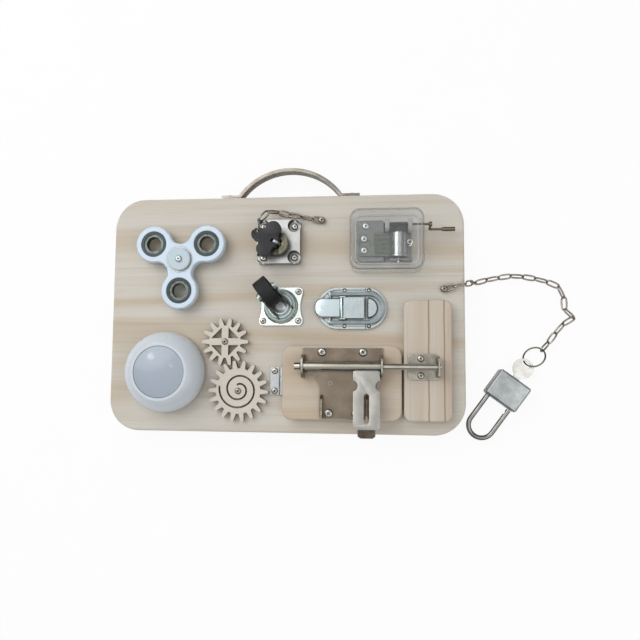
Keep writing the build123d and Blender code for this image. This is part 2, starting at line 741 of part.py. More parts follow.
gear_screw = wood_screw(GEAR_HEAD, GEAR_HEAD_RISE, LARGE_SHANK, gear_seat - TOP + LARGE_LENGTH)
round_screws = [Pos(x, y, gear_seat) * gear_screw for x, y in gear_places]

# Cabinet lock: a cast case with a barrel, a turning plug and a sliding bolt
lock_top = TOP + LOCK_HEIGHT
barrel_y = LOCK_Y + LOCK_BARREL_Y
barrel_top = lock_top + LOCK_BARREL_RISE
tongue_bottom = TOP + RUNNING
tongue_top = tongue_bottom + BOLT_TONGUE_THICKNESS
case = panel(LOCK_LENGTH, LOCK_WIDTH, LOCK_CORNER, TOP, lock_top, LOCK_X, LOCK_Y)
case += bar(LOCK_BARREL, TOP, barrel_top, LOCK_X, barrel_y)
for i, j in grid(LOCK_SCREW_SPACING, LOCK_SCREW_SPACING):
    x, y = LOCK_X + i, LOCK_Y + j
    case -= bar(LOCK_POCKET, TOP + LOCK_POCKET_FLOOR, lock_top + OVERRUN, x, y)
    case -= bar(SMALL_SHANK + HOLE_PLAY, TOP - OVERRUN, lock_top, x, y)
    small_screws.append(Pos(x, y, TOP + LOCK_POCKET_FLOOR) * small_screw)
case += bar(LOCK_BARREL, TOP, barrel_top, LOCK_X, barrel_y)
case_front = LOCK_Y - LOCK_WIDTH / 2
tongue_end = case_front + BOLT_TONGUE_LENGTH
half_tongue = BOLT_TONGUE_WIDTH / 2
case -= box(
    LOCK_X - half_tongue - AIR,
    LOCK_X + half_tongue + AIR,
    case_front - OVERRUN,
    tongue_end + AIR,
    TOP - OVERRUN,
    tongue_top + AIR,
)
plug_bottom = tongue_top + AIR + LOCK_FLOOR
case -= bar(LOCK_PLUG + RUNNING, plug_bottom - RUNNING, barrel_top + OVERRUN, LOCK_X, barrel_y)
parts["lock_case"] = case
parts["lock_bolt"] = box(
    LOCK_X - half_tongue, LOCK_X + half_tongue, case_front + AIR, tongue_end, tongue_bottom, tongue_top
)
key_place = Pos(LOCK_X, barrel_y, barrel_top) * Rot(0, 0, KEY_DIRECTION)
plug = bar(LOCK_PLUG, plug_bottom - barrel_top, 0)
half_blade = KEY_BLADE_WIDTH / 2
half_thick = KEY_BLADE_THICKNESS / 2
plug -= box(
    -half_blade - RUNNING,
    half_blade + RUNNING,
    -half_thick - RUNNING,
    half_thick + RUNNING,
    -KEY_BLADE_DEPTH - RUNNING,
    OVERRUN,
)
parts["lock_plug"] = key_place * plug
# The key's frame has +X along the folded bow, +Z out of the lock and its origin on the face
blade = box(-half_blade, half_blade, -half_thick, half_thick, -KEY_BLADE_DEPTH, KEY_PIVOT_RISE)
blade += bar_y(half_blade, -half_thick, half_thick, 0, KEY_PIVOT_RISE)
blade -= bar_y(KEY_PIN + RUNNING, -half_blade, half_blade, 0, KEY_PIVOT_RISE)
parts["lock_key"] = key_place * blade
bow_bottom = KEY_PIVOT_RISE - KEY_BOW_THICKNESS / 2
bow_top = KEY_PIVOT_RISE + KEY_BOW_THICKNESS / 2
half_root = KEY_ROOT_WIDTH / 2
bow_outline = Pos(KEY_TIP_REACH / 2, 0) * Rectangle(KEY_TIP_REACH, KEY_ROOT_WIDTH)
bow_outline += Pos(KEY_TIP_REACH, 0) * Circle(KEY_TIP_LOBE)
bow_outline += [Pos(KEY_SIDE_REACH, s * KEY_SIDE_SPREAD) * Circle(KEY_SIDE_LOBE) for s in (-1, 1)]
bow_outline += Pos(KEY_SIDE_REACH, 0) * Circle(KEY_SIDE_SPREAD)
bow = raised(bow_outline, bow_bottom, bow_top)
bow -= box(-KEY_TIP_REACH, 0, -KEY_TIP_REACH, KEY_TIP_REACH, bow_bottom - OVERRUN, bow_top + OVERRUN)
bow += bar_y(KEY_BOW_THICKNESS / 2, -half_root, half_root, 0, KEY_PIVOT_RISE)
bow -= box(
    -KEY_TIP_REACH,
    half_blade + AIR,
    -half_thick - AIR,
    half_thick + AIR,
    bow_bottom - OVERRUN,
    bow_top + OVERRUN,
)
bow -= bar_y(KEY_PIN, -KEY_TIP_REACH, KEY_TIP_REACH, 0, KEY_PIVOT_RISE)
eye_angle = radians(KEY_EYE_DIRECTION - KEY_DIRECTION)
eye_x = KEY_TIP_REACH + KEY_EYE_OFFSET * cos(eye_angle)
eye_y = KEY_EYE_OFFSET * sin(eye_angle)
bow -= bar(KEY_EYE, bow_bottom - OVERRUN, bow_top + OVERRUN, eye_x, eye_y)
bow -= bar(KEY_EYE_POCKET, bow_bottom - OVERRUN, KEY_PIVOT_RISE - KEY_EYE_WEB / 2, eye_x, eye_y)
bow -= bar(KEY_EYE_POCKET, KEY_PIVOT_RISE + KEY_EYE_WEB / 2, bow_top + OVERRUN, eye_x, eye_y)
parts["key_bow"] = key_place * bow
parts["key_pin"] = key_place * bar_y(KEY_PIN, -half_root, half_root, 0, KEY_PIVOT_RISE)

# Chains: oval links that each hold the next, every other one turned a quarter


def link(start, end, roll):
    """One oval link whose two ends lie at two points."""
    a, b = Vector(*start), Vector(*end)
    reach = LINK_PITCH / 2 - LINK_SLACK / 2 + LINK_WIRE
    bend = LINK_WIDTH / 2 - LINK_WIRE
    points = []
    for side in (1, -1):
        for i in range(LINK_BEND_STEPS + 1):
            angle = radians(-90 + 180 * i / LINK_BEND_STEPS)
            x = reach - bend + bend * cos(angle)
            points.append((side * x, side * bend * sin(angle)))
    path = Polyline(*points, close=True)
    bottom = Plane(origin=(0, -bend, 0), x_dir=(0, 0, 1), z_dir=(1, 0, 0))
    section = bottom * RegularPolygon(LINK_WIRE, LINK_SIDES)
    path = Polyline((0, -bend), *points, close=True)
    body = sweep(section, path=path, transition=Transition.RIGHT)
    way = b - a
    heading = degrees(atan2(way.Y, way.X))
    slope = degrees(atan2(way.Z, hypot(way.X, way.Y)))
    middle = (a + b) * 0.5
    return Pos(*middle) * Rot(0, 0, heading) * Rot(0, -slope, 0) * Rot(roll, 0, 0) * body


def walk(route):
    """Points one link pitch apart along a route of straight runs."""
    points = [Vector(*route[0])]
    here, run = points[0], 1
    while run < len(route):
        target = Vector(*route[run])
        if (target - here).length < LINK_PITCH:
            run += 1
            continue
        start = Vector(*route[run - 1])
        along = (target - start).normalized()
        offset = start - here
        middle = -offset.dot(along)
        reach = middle + sqrt(middle**2 - offset.dot(offset) + LINK_PITCH**2)
        here = start + along * reach
        points.append(here)
    return points


def chain(x, y, shares, roll):
    """The links of one chain from its screw on, and the point where the last one ends."""
    route = [(x + LINK_PITCH * i, y + LINK_PITCH * j, TOP + LINK_PITCH * k) for i, j, k in shares]
    ends = walk(route)
    links = []
    for i, (start, end) in enumerate(zip(ends, ends[1:])):
        lean = min(i, 3) / 3 * roll
        links.append(link(tuple(start), tuple(end), lean + QUARTER_TURN * (i % 2)))
    return links, ends


key_links, key_ends = chain(KEY_CHAIN_X, KEY_CHAIN_Y, KEY_CHAIN_SHARES, 45)
parts["key_chain"] = group(key_links)
padlock_chain_x = BOARD_LENGTH / 2 - PADLOCK_CHAIN_INSET
lock_links, lock_ends = chain(padlock_chain_x, PADLOCK_CHAIN_Y, PADLOCK_CHAIN_SHARES, 45)
parts["padlock_chain"] = group(lock_links)
round_screws += [
    Pos(x, y, TOP + CHAIN_SEAT) * gear_screw
    for x, y in [(KEY_CHAIN_X, KEY_CHAIN_Y), (padlock_chain_x, PADLOCK_CHAIN_Y)]
]
parts["round_screws"] = group(round_screws)
# The key's own link hangs in the bow's eye and ends just above the chain
eye = (key_place * Pos(eye_x, eye_y, KEY_PIVOT_RISE)).position
chain_end = key_ends[-1]
link_way = Vector(chain_end.X - eye.X, chain_end.Y - eye.Y, 0).normalized()
link_drop = LINK_PITCH * KEY_LINK_RISE_SHARE
link_flat = sqrt(LINK_PITCH**2 - link_drop**2)
link_end = eye + link_way * link_flat + Vector(0, 0, link_drop)
parts["key_link"] = link(tuple(eye), tuple(link_end), QUARTER_TURN)

# Castor: a scalloped plate with a pressed race, a fork on a rivet, and a wheel on its axle
castor_top = TOP + CASTOR_PLATE_THICKNESS
castor_place = Pos(CASTOR_X, CASTOR_Y, 0)
plate_outline = RectangleRounded(CASTOR_PLATE_LENGTH, CASTOR_PLATE_WIDTH, CASTOR_PLATE_CORNER)
scallop_x = CASTOR_PLATE_LENGTH / 2 - CASTOR_SCALLOP_DEPTH + CASTOR_SCALLOP
plate_outline -= [Pos(s * scallop_x, 0) * Circle(CASTOR_SCALLOP) for s in (-1, 1)]
castor_plate = raised(plate_outline, TOP, castor_top)
race_top = castor_top + CASTOR_RACE_HEIGHT
castor_race = Pos(0, 0, castor_top) * Cone(
    CASTOR_RACE, CASTOR_CROWN, CASTOR_RACE_HEIGHT, align=FLOOR
)
castor_plate += castor_race
castor_plate -= bar(CASTOR_RIVET + RUNNING, TOP - OVERRUN, race_top + OVERRUN)
for i, j in grid(CASTOR_HOLES_LENGTH, CASTOR_HOLES_WIDTH):
    castor_plate -= bar(SMALL_SHANK + HOLE_PLAY, TOP - OVERRUN, castor_top + OVERRUN, i, j)
    small_screws.append(castor_place * Pos(i, j, castor_top) * small_screw)
parts["castor_plate"] = castor_place * castor_plate
crown_bottom = race_top + AIR
crown_top = crown_bottom + CASTOR_CROWN_THICKNESS
rivet_seat = crown_top + RUNNING
rivet = bar(CASTOR_RIVET, TOP, rivet_seat)
rivet += Pos(0, 0, rivet_seat) * Cone(
    CASTOR_RIVET_HEAD, CASTOR_RIVET_HEAD * CROWN_SHARE, CASTOR_RIVET_RISE, align=FLOOR
)
parts["castor_rivet"] = castor_place * rivet
# The fork's frame has +X along the trail and +Y along the axle
fork_place = castor_place * Rot(0, 0, CASTOR_DIRECTION)
axle_z = TOP + CASTOR_AXLE_HEIGHT
leg_inside = WHEEL_WIDTH / 2 + CASTOR_LEG_GAP
leg_outside = leg_inside + CASTOR_LEG_THICKNESS
fork = bar(CASTOR_CROWN, crown_bottom, crown_top)
fork += tube(
    CASTOR_RIDGE, CASTOR_RIDGE - CASTOR_RIDGE_WIDTH, crown_bottom, crown_top + CASTOR_RIDGE_RISE
)
fork -= bar(CASTOR_RIVET + RUNNING, TOP, crown_top + OVERRUN)
crown_chord = sqrt(CASTOR_CROWN**2 - leg_outside**2)
leg_rise = axle_z - crown_bottom
leg_angle = acos(min(CASTOR_LEG_EYE / hypot(CASTOR_TRAIL + crown_chord, leg_rise), 1))
leg_slope = atan2(leg_rise, CASTOR_TRAIL + crown_chord)
leg_touch = leg_slope + pi - leg_angle
leg_points = [
    (-crown_chord, crown_bottom),
    (
        CASTOR_TRAIL + CASTOR_LEG_EYE * cos(leg_touch),
        axle_z + CASTOR_LEG_EYE * sin(leg_touch),
    ),
    (CASTOR_TRAIL, axle_z),
    (CASTOR_TRAIL + CASTOR_LEG_EYE, axle_z),
    (crown_chord, crown_bottom),
]
leg_outline = make_face(Polyline(*leg_points, close=True).edges())
leg_outline += Pos(CASTOR_TRAIL, axle_z) * Circle(CASTOR_LEG_EYE)
leg_outline -= Pos(CASTOR_TRAIL, axle_z) * Circle(AXLE_RADIUS)
leg = extrude(Plane.XZ * leg_outline, amount=CASTOR_LEG_THICKNESS)
fork += [Pos(0, -leg_inside, 0) * leg, Pos(0, leg_outside, 0) * leg]
parts["castor_fork"] = fork_place * fork
wheel = bar_y(WHEEL_RADIUS, -WHEEL_WIDTH / 2, WHEEL_WIDTH / 2, 0, 0)
wheel = chamfer(wheel.edges(), WHEEL_ROUND)
wheel -= bar_y(AXLE_RADIUS + RUNNING, -WHEEL_WIDTH, WHEEL_WIDTH, 0, 0)
parts["castor_wheel"] = fork_place * Pos(CASTOR_TRAIL, 0, axle_z) * wheel
axle_end = leg_outside + AXLE_HEAD_THICKNESS
axle = bar_y(AXLE_RADIUS, -leg_outside, leg_outside, 0, 0)
axle += bar_y(AXLE_HEAD, -axle_end, -leg_outside, 0, 0)
axle += bar_y(AXLE_HEAD, leg_outside, axle_end, 0, 0)
parts["castor_axle"] = fork_place * Pos(CASTOR_TRAIL, 0, axle_z) * axle

# Toggle latch: the lever lies over the base, and its loop goes round the catch
latch_place = Pos(LATCH_X, LATCH_Y, TOP)
latch_outline = SlotOverall(LATCH_LENGTH, LATCH_WIDTH)
rim_outline = latch_outline - SlotOverall(
    LATCH_LENGTH - 2 * LATCH_RIM_WIDTH, LATCH_WIDTH - 2 * LATCH_RIM_WIDTH
)
pressing = raised(latch_outline, 0, LATCH_PLATE)
pressing += raised(rim_outline, LATCH_PLATE, LATCH_PLATE + LATCH_RIM)
half_latch = LATCH_LENGTH / 2
nail_columns = (LATCH_NAIL_LEFT, half_latch - LATCH_NAIL_INSET)
nail_places = [(x, s * LATCH_NAIL_Y) for x in nail_columns for s in (-1, 1)]
for x, y in nail_places:
    pressing -= bar(LATCH_NAIL_SHANK + HOLE_PLAY, -OVERRUN, LATCH_PLATE + OVERRUN, x, y)
    pressing -= bar(LATCH_NAIL_HEAD + HOLE_PLAY, LATCH_PLATE, LATCH_BRIDGE_HEIGHT, x, y)
tall = LATCH_BRIDGE_HEIGHT
seam_x = half_latch - LATCH_SEAM_INSET
right_cut = box(
    seam_x - LATCH_SEAM / 2, LATCH_LENGTH, -LATCH_WIDTH, LATCH_WIDTH, -OVERRUN, tall
)
left_cut = box(
    -LATCH_LENGTH, seam_x + LATCH_SEAM / 2, -LATCH_WIDTH, LATCH_WIDTH, -OVERRUN, tall
)
half_bridge = LATCH_BRIDGE_WIDTH / 2
bridge_end = half_latch - LATCH_BRIDGE_INSET
latch_base = pressing - right_cut
latch_base += box(
    LATCH_BRIDGE_START, bridge_end, -half_bridge, half_bridge, LATCH_PLATE, LATCH_BRIDGE_HEIGHT
)
ear_inside = LEVER_WIDTH / 2 + AIR
for side in (-1, 1):
    middle = side * (ear_inside + LATCH_EAR / 2)
    latch_base += box(
        LATCH_PIVOT_X - LATCH_KNUCKLE,
        LATCH_BRIDGE_START + LATCH_KNUCKLE,
        middle - LATCH_EAR / 2,
        middle + LATCH_EAR / 2,
        LATCH_PLATE,
        LATCH_PIVOT_HEIGHT + LATCH_KNUCKLE,
    )
ear_end = ear_inside + LATCH_EAR
latch_base -= bar_y(LATCH_PIN, -ear_end - OVERRUN, ear_end + OVERRUN, LATCH_PIVOT_X, LATCH_PIVOT_HEIGHT)
parts["latch_base"] = latch_place * latch_base
catch_start = half_latch - CATCH_INSET
catch = Pos(catch_start, 0) * Circle(CATCH_HALF)
catch &= Pos(catch_start + CATCH_HALF / 2, 0) * Rectangle(CATCH_HALF, 2 * CATCH_HALF)
catch_block = raised(catch, LATCH_PLATE, CATCH_HEIGHT)
catch_block = chamfer(catch_block.edges().group_by(Axis.Z)[-1], LATCH_RIM)
parts["latch_catch"] = latch_place * (pressing - left_cut + catch_block)
parts["latch_nails"] = group(
    latch_place
    * Pos(x, y, LATCH_PLATE)
    * wood_screw(LATCH_NAIL_HEAD, LATCH_NAIL_RISE, LATCH_NAIL_SHANK, LATCH_NAIL_LENGTH)
    for x, y in nail_places
)
parts["latch_pin"] = latch_place * bar_y(
    LATCH_PIN, -ear_end, ear_end, LATCH_PIVOT_X, LATCH_PIVOT_HEIGHT
)
half_lever = LEVER_WIDTH / 2
lever_end = LATCH_PIVOT_X - LATCH_PIN
lever_tip = -half_latch - LEVER_TIP_OVERHANG
lever_length = lever_end - lever_tip
lever_outline = Pos((lever_end + lever_tip) / 2, 0) * Rectangle(lever_length, LEVER_WIDTH)
lever_outline = fillet(lever_outline.vertices().group_by(Axis.X)[0], LEVER_TIP_ROUND)
lever_top = LEVER_UNDERSIDE + LEVER_THICKNESS
lever = raised(lever_outline, LEVER_UNDERSIDE, lever_top)
lever = chamfer(lever.edges().group_by(Axis.Z)[-1], LATCH_RIM)
lever += bar_y(LATCH_KNUCKLE, -half_lever, half_lever, LATCH_PIVOT_X, LATCH_PIVOT_HEIGHT)
lever -= bar_y(LATCH_PIN + RUNNING, -LEVER_WIDTH, LEVER_WIDTH, LATCH_PIVOT_X, LATCH_PIVOT_HEIGHT)
stub_inside = half_lever - LOOP_STRIP
for side in (-1, 1):
    start, end = sorted((side * (stub_inside - RUNNING), side * (half_lever + OVERRUN)))
    lever -= bar_y(LOOP_STUB + RUNNING, start, end, LOOP_PIVOT_X, LOOP_PIVOT_HEIGHT)
parts["latch_lever"] = latch_place * lever
loop_outer = LOOP_HALF + LOOP_STRIP
loop_left = LOOP_PIVOT_X - LOOP_STRIP / 2
loop_outline = Circle(loop_outer) - Circle(LOOP_HALF)
loop_outline &= Pos(loop_outer / 2, 0) * Rectangle(loop_outer, 2 * loop_outer)
loop_end = half_latch - LOOP_END_INSET
loop_outline = Pos(loop_end, 0) * loop_outline
loop_run = loop_end - loop_left
for side in (-1, 1):
    loop_outline += Pos(loop_end - loop_run / 2, side * (LOOP_HALF + LOOP_STRIP / 2)) * Rectangle(
        loop_run, LOOP_STRIP
    )
loop_bottom = LOOP_PIVOT_HEIGHT - LOOP_THICKNESS / 2
loop = raised(loop_outline, loop_bottom, loop_bottom + LOOP_THICKNESS)
for side in (-1, 1):
    start, end = sorted((side * stub_inside, side * loop_outer))
    loop += bar_y(LOOP_STUB, start, end, LOOP_PIVOT_X, LOOP_PIVOT_HEIGHT)
parts["latch_loop"] = latch_place * loop

# Music movement: a clear case over a frame with a comb, a pinned drum and a worm shaft
music_place = Pos(MUSIC_X, MUSIC_Y, TOP)
music_case = panel(MUSIC_LENGTH, MUSIC_WIDTH, MUSIC_CORNER, 0, MUSIC_HEIGHT)
music_case = fillet(music_case.edges().group_by(Axis.Z)[-1], MUSIC_TOP_ROUND)
inside_length = MUSIC_LENGTH - 2 * MUSIC_WALL
inside_width = MUSIC_WIDTH - 2 * MUSIC_WALL
inside_corner = MUSIC_CORNER - MUSIC_WALL
music_case -= panel(
    inside_length, inside_width, inside_corner, -OVERRUN, MUSIC_HEIGHT - MUSIC_WALL
)
shaft_exit = MUSIC_LENGTH / 2 - MUSIC_WALL
music_case -= bar_x(
    CRANK_SHAFT + RUNNING, shaft_exit - OVERRUN, shaft_exit + MUSIC_WALL + OVERRUN, CRANK_Y, CRANK_HEIGHT
)
parts["music_case"] = music_place * music_case
frame_top = FRAME_THICKNESS
frame = box(FRAME_LEFT, FRAME_RIGHT, FRAME_FRONT, FRAME_BACK, 0, frame_top)
frame += box(FRAME_LEFT, FRAME_DECK_RIGHT, FRAME_FRONT, FRAME_BACK, frame_top, FRAME_DECK_HEIGHT)
frame -= box(
    FRAME_LEFT - OVERRUN,
    FRAME_DECK_RIGHT - FRAME_THICKNESS,
    FRAME_FRONT + FRAME_THICKNESS,
    FRAME_BACK - FRAME_THICKNESS,
    frame_top,
    FRAME_DECK_HEIGHT - FRAME_THICKNESS,
)
gear_front = DRUM_BACK + AIR
gear_back = gear_front + DRUM_GEAR_WIDTH
cheek_places = [FRAME_FRONT, gear_back + AIR]
for y in cheek_places:
    frame += box(
        DRUM_X - DRUM_FLANGE, FRAME_RIGHT, y, y + CHEEK_THICKNESS, frame_top, DRUM_HEIGHT + DRUM_SHAFT * 2
    )
frame -= bar_y(DRUM_SHAFT + RUNNING, FRAME_FRONT - OVERRUN, FRAME_BACK, DRUM_X, DRUM_HEIGHT)
# Two posts carry the worm shaft in front of the clear case's wall
post_back = cheek_places[1] + CHEEK_THICKNESS
post_places = [DRUM_X - DRUM_GEAR_RADIUS - 2 * CHEEK_THICKNESS, FRAME_RIGHT - CHEEK_THICKNESS]
worm_clear = CRANK_HEIGHT + CRANK_SHAFT + CHEEK_THICKNESS
for x in post_places:
    frame += box(
        x,
        x + CHEEK_THICKNESS,
        CRANK_Y - CRANK_SHAFT - CHEEK_THICKNESS,
        max(post_back, CRANK_Y + CRANK_SHAFT + CHEEK_THICKNESS),
        frame_top,
        worm_clear,
    )
frame -= bar_x(
    CRANK_SHAFT + RUNNING, post_places[0] - OVERRUN, FRAME_RIGHT + OVERRUN, CRANK_Y, CRANK_HEIGHT
)
deck_top = FRAME_DECK_HEIGHT
comb = box(COMB_LEFT, COMB_RIGHT, COMB_FRONT, COMB_BACK, deck_top, deck_top + COMB_THICKNESS)
tooth_pitch = (COMB_BACK - COMB_FRONT) / COMB_TEETH
for i in range(1, COMB_TEETH):
    y = COMB_FRONT + i * tooth_pitch
    comb -= box(
        COMB_RIGHT - COMB_SLIT_LENGTH,
        COMB_RIGHT + OVERRUN,
        y - COMB_SLIT / 2,
        y + COMB_SLIT / 2,
        deck_top - OVERRUN,
        deck_top + COMB_THICKNESS + OVERRUN,
    )
comb_middle = (COMB_FRONT + COMB_BACK) / 2
comb_top = deck_top + COMB_THICKNESS
music_screws = []
comb_screw = wood_screw(SMALL_HEAD, SMALL_RISE, SMALL_SHANK, COMB_THICKNESS + FRAME_THICKNESS)
for side in (-1, 1):
    y = comb_middle + side * COMB_SCREW_SPACING / 2
    hole = bar(SMALL_SHANK + RUNNING, frame_top, comb_top + OVERRUN, COMB_SCREW_X, y)
    comb -= hole
    frame -= hole
    music_screws.append(music_place * Pos(COMB_SCREW_X, y, comb_top) * comb_screw)
frame -= bar(SMALL_SHANK + RUNNING, frame_top, deck_top + OVERRUN, DECK_SCREW_X, DECK_SCREW_Y)
music_screws.append(music_place * Pos(DECK_SCREW_X, DECK_SCREW_Y, deck_top) * comb_screw)
parts["music_comb"] = music_place * comb
parts["music_frame"] = music_place * frame
parts["music_screws"] = group(music_screws)
drum = bar_y(DRUM_RADIUS, DRUM_FRONT, DRUM_BACK, DRUM_X, DRUM_HEIGHT)
drum += bar_y(DRUM_FLANGE, DRUM_FRONT - CHEEK_THICKNESS, DRUM_FRONT, DRUM_X, DRUM_HEIGHT)
drum += bar_y(
    DRUM_SHAFT,
    FRAME_FRONT - CHEEK_THICKNESS,
    gear_back + AIR + CHEEK_THICKNESS,
    DRUM_X,
    DRUM_HEIGHT,
)
parts["music_drum"] = music_place * drum
wheel_outline = Circle(DRUM_GEAR_RADIUS - DRUM_TOOTH)
cog = Pos(DRUM_GEAR_RADIUS - DRUM_TOOTH, 0) * Rectangle(2 * DRUM_TOOTH, DRUM_TOOTH)
wheel_outline += [Rot(0, 0, a) * cog for _, _, a in ring_of(DRUM_GEAR_TEETH, DRUM_GEAR_RADIUS)]
wheel_outline -= Circle(DRUM_SHAFT)
drum_gear = Pos(DRUM_X, gear_front, DRUM_HEIGHT) * ALONG_Y * extrude(
    wheel_outline, amount=DRUM_GEAR_WIDTH
)
parts["music_gear"] = music_place * drum_gear
worm_half = DRUM_GEAR_RADIUS
shaft_start = post_places[0] - CHEEK_THICKNESS
shaft = bar_x(CRANK_SHAFT, shaft_start, CRANK_OUT, CRANK_Y, CRANK_HEIGHT)
worm = min(WORM_RADIUS, CRANK_HEIGHT - DRUM_HEIGHT - DRUM_GEAR_RADIUS - AIR)
shaft += bar_x(worm, DRUM_X - worm_half, DRUM_X + worm_half, CRANK_Y, CRANK_HEIGHT)
# The crank's frame has +X along the shaft and +Y along the arm
crank_place = music_place * Pos(0, CRANK_Y, CRANK_HEIGHT) * Rot(CRANK_TURN, 0, 0)
crank = bar_x(CRANK_COLLAR, CRANK_OUT, CRANK_OUT + 2 * CRANK_COLLAR_LENGTH, 0, 0)
arm_x = CRANK_OUT + CRANK_COLLAR_LENGTH
crank += bar_y(CRANK_WIRE, 0, CRANK_ARM, arm_x, 0)
crank += Pos(arm_x, CRANK_ARM, 0) * Sphere(CRANK_WIRE)
grip_end = CRANK_REACH + CRANK_GRIP_LENGTH
crank += bar_x(CRANK_WIRE, arm_x, grip_end, CRANK_ARM, 0)
parts["music_crank"] = music_place * shaft + crank_place * crank
grip = bar_x(CRANK_GRIP, CRANK_REACH, grip_end, CRANK_ARM, 0)
grip -= bar_x(CRANK_WIRE, CRANK_REACH - OVERRUN, grip_end + OVERRUN, CRANK_ARM, 0)
parts["music_grip"] = crank_place * grip

# Door and strike block
block_x = DOOR_X + DOOR_LENGTH + DOOR_GAP
door = panel(
    DOOR_LENGTH,
    DOOR_WIDTH,
    DOOR_CORNER,
    TOP + AIR,
    DOOR_TOP,
    DOOR_X + DOOR_LENGTH / 2,
    DOOR_Y + DOOR_WIDTH / 2,
)
parts["door_panel"] = fillet(door.edges().group_by(Axis.Z)[-1], DOOR_ROUND)
block = panel(
    BLOCK_LENGTH,
    BLOCK_WIDTH,
    BLOCK_CORNER,
    TOP,
    DOOR_TOP,
    block_x + BLOCK_LENGTH / 2,
    DOOR_Y + BLOCK_WIDTH / 2,
)
parts["strike_block"] = fillet(block.edges().group_by(Axis.Z)[-1], DOOR_ROUND)

# Hinge: one leaf on the board, one on the door's edge, knuckles round a pin
pin_x = DOOR_X - HINGE_KNUCKLE - AIR
pin_z = TOP + HINGE_KNUCKLE + RUNNING
hinge_front = HINGE_Y - HINGE_WIDTH / 2
hinge_back = HINGE_Y + HINGE_WIDTH / 2
board_leaf = box(pin_x - HINGE_LEAF, pin_x, hinge_front, hinge_back, TOP, TOP + HINGE_THICKNESS)
door_leaf = box(
    DOOR_X - HINGE_THICKNESS, DOOR_X, hinge_front, hinge_back, pin_z, pin_z + HINGE_DOOR_LEAF
)
knuckle_pitch = HINGE_WIDTH / HINGE_KNUCKLES
sleeve_clear = HINGE_KNUCKLE + HINGE_KNUCKLE_GAP
for i in range(HINGE_KNUCKLES):
    start = hinge_front + i * knuckle_pitch
    end = start + knuckle_pitch
    knuckle = bar_y(HINGE_KNUCKLE, start, end - HINGE_KNUCKLE_GAP, pin_x, pin_z)
    clearance = bar_y(sleeve_clear, start - HINGE_KNUCKLE_GAP, end, pin_x, pin_z)
    if i % 2:
        board_leaf -= clearance
        door_leaf += knuckle
    else:
        door_leaf -= clearance
        board_leaf += knuckle
pin_bore = bar_y(HINGE_PIN, hinge_front - OVERRUN, hinge_back + OVERRUN, pin_x, pin_z)
for side in (-1, 1):
    y = HINGE_Y + side * HINGE_SCREW_SPACING / 2
    x = pin_x - HINGE_SCREW_X
    leaf_top = TOP + HINGE_THICKNESS
    board_leaf -= bar(SMALL_SHANK + HOLE_PLAY, TOP - OVERRUN, leaf_top + OVERRUN, x, y)
    small_screws.append(Pos(x, y, leaf_top) * small_screw)
parts["hinge_leaves"] = group([board_leaf - pin_bore, door_leaf - pin_bore])
parts["hinge_pin"] = bar_y(HINGE_PIN, hinge_front, hinge_back - HINGE_KNUCKLE_GAP, pin_x, pin_z)

# Padbolt: a plate with two ears, a slotted barrel, a rod, and a hasp that falls over a staple
plate_top = DOOR_TOP + PADBOLT_PLATE
rod_z = plate_top + ROD_RISE
plate_left = PADBOLT_X
plate_right = PADBOLT_X + PADBOLT_LENGTH
low_left = plate_left + PADBOLT_INSET_LEFT
low_right = plate_right - PADBOLT_INSET_RIGHT
plate_line = Polyline(
    (low_left, PADBOLT_WAIST),
    (low_left, PADBOLT_FOOT),
    (low_right, PADBOLT_FOOT),
    (low_right, PADBOLT_WAIST),
)
plate_line += Polyline(
    (plate_right, PADBOLT_SHOULDER),
    (plate_right, PADBOLT_TOP),
    (plate_left, PADBOLT_TOP),
    (plate_left, PADBOLT_SHOULDER),
)
plate_line += EllipticalCenterArc(
    (plate_left, PADBOLT_WAIST),
    PADBOLT_INSET_LEFT,
    PADBOLT_SHOULDER - PADBOLT_WAIST,
    start_angle=0,
    arc_size=QUARTER_TURN,
)
plate_line += Line((low_right, PADBOLT_WAIST), (plate_right, PADBOLT_SHOULDER))
padbolt_plate = raised(make_face(plate_line.edges()), DOOR_TOP, plate_top)
ear_outline = Pos(ROD_Y, DOOR_TOP) * Rectangle(
    2 * EAR_HALF, ROD_RISE + PADBOLT_PLATE, align=(Align.CENTER, Align.MIN)
)
ear_round = EAR_RISE - ROD_RISE
ear_outline += Pos(ROD_Y, rod_z) * Ellipse(EAR_HALF, ear_round)
ear = extrude(Plane.YZ * ear_outline, amount=EAR_THICKNESS)
padbolt_plate += [Pos(plate_left, 0, 0) * ear, Pos(plate_right - EAR_THICKNESS, 0, 0) * ear]
barrel_start = plate_left + EAR_THICKNESS
barrel_end = plate_right - EAR_THICKNESS
barrel_inside = BARREL_RADIUS - BARREL_WALL
barrel = bar_x(BARREL_RADIUS, barrel_start, barrel_end, ROD_Y, rod_z)
barrel -= bar_x(barrel_inside, barrel_start - OVERRUN, barrel_end + OVERRUN, ROD_Y, rod_z)
slot_far = BARREL_RADIUS / CROWN_SHARE**2
slot_rays = [-BARREL_SLOT_LOW, 0, BARREL_SLOT_HIGH]
slot_points = [
    (ROD_Y - slot_far * cos(radians(a)), rod_z + slot_far * sin(radians(a))) for a in slot_rays
]
slot_wedge = make_face(Polyline((ROD_Y, rod_z), *slot_points, close=True).edges())
barrel -= Pos(barrel_start - OVERRUN, 0, 0) * extrude(
    Plane.YZ * slot_wedge, amount=barrel_end - barrel_start + 2 * OVERRUN
)
padbolt_plate += barrel
padbolt_plate -= bar_x(
    ROD_RADIUS + RUNNING, plate_left - OVERRUN, plate_right + OVERRUN, ROD_Y, rod_z
)
plate_screws = [
    (PADBOLT_SCREW_TOP_LEFT, PADBOLT_SCREW_TOP),
    (PADBOLT_SCREW_TOP_RIGHT, PADBOLT_SCREW_TOP),
    (PADBOLT_SCREW_LOW_LEFT, PADBOLT_SCREW_LOW),
    (PADBOLT_SCREW_LOW_RIGHT, PADBOLT_SCREW_LOW),
]
padbolt_screws = []
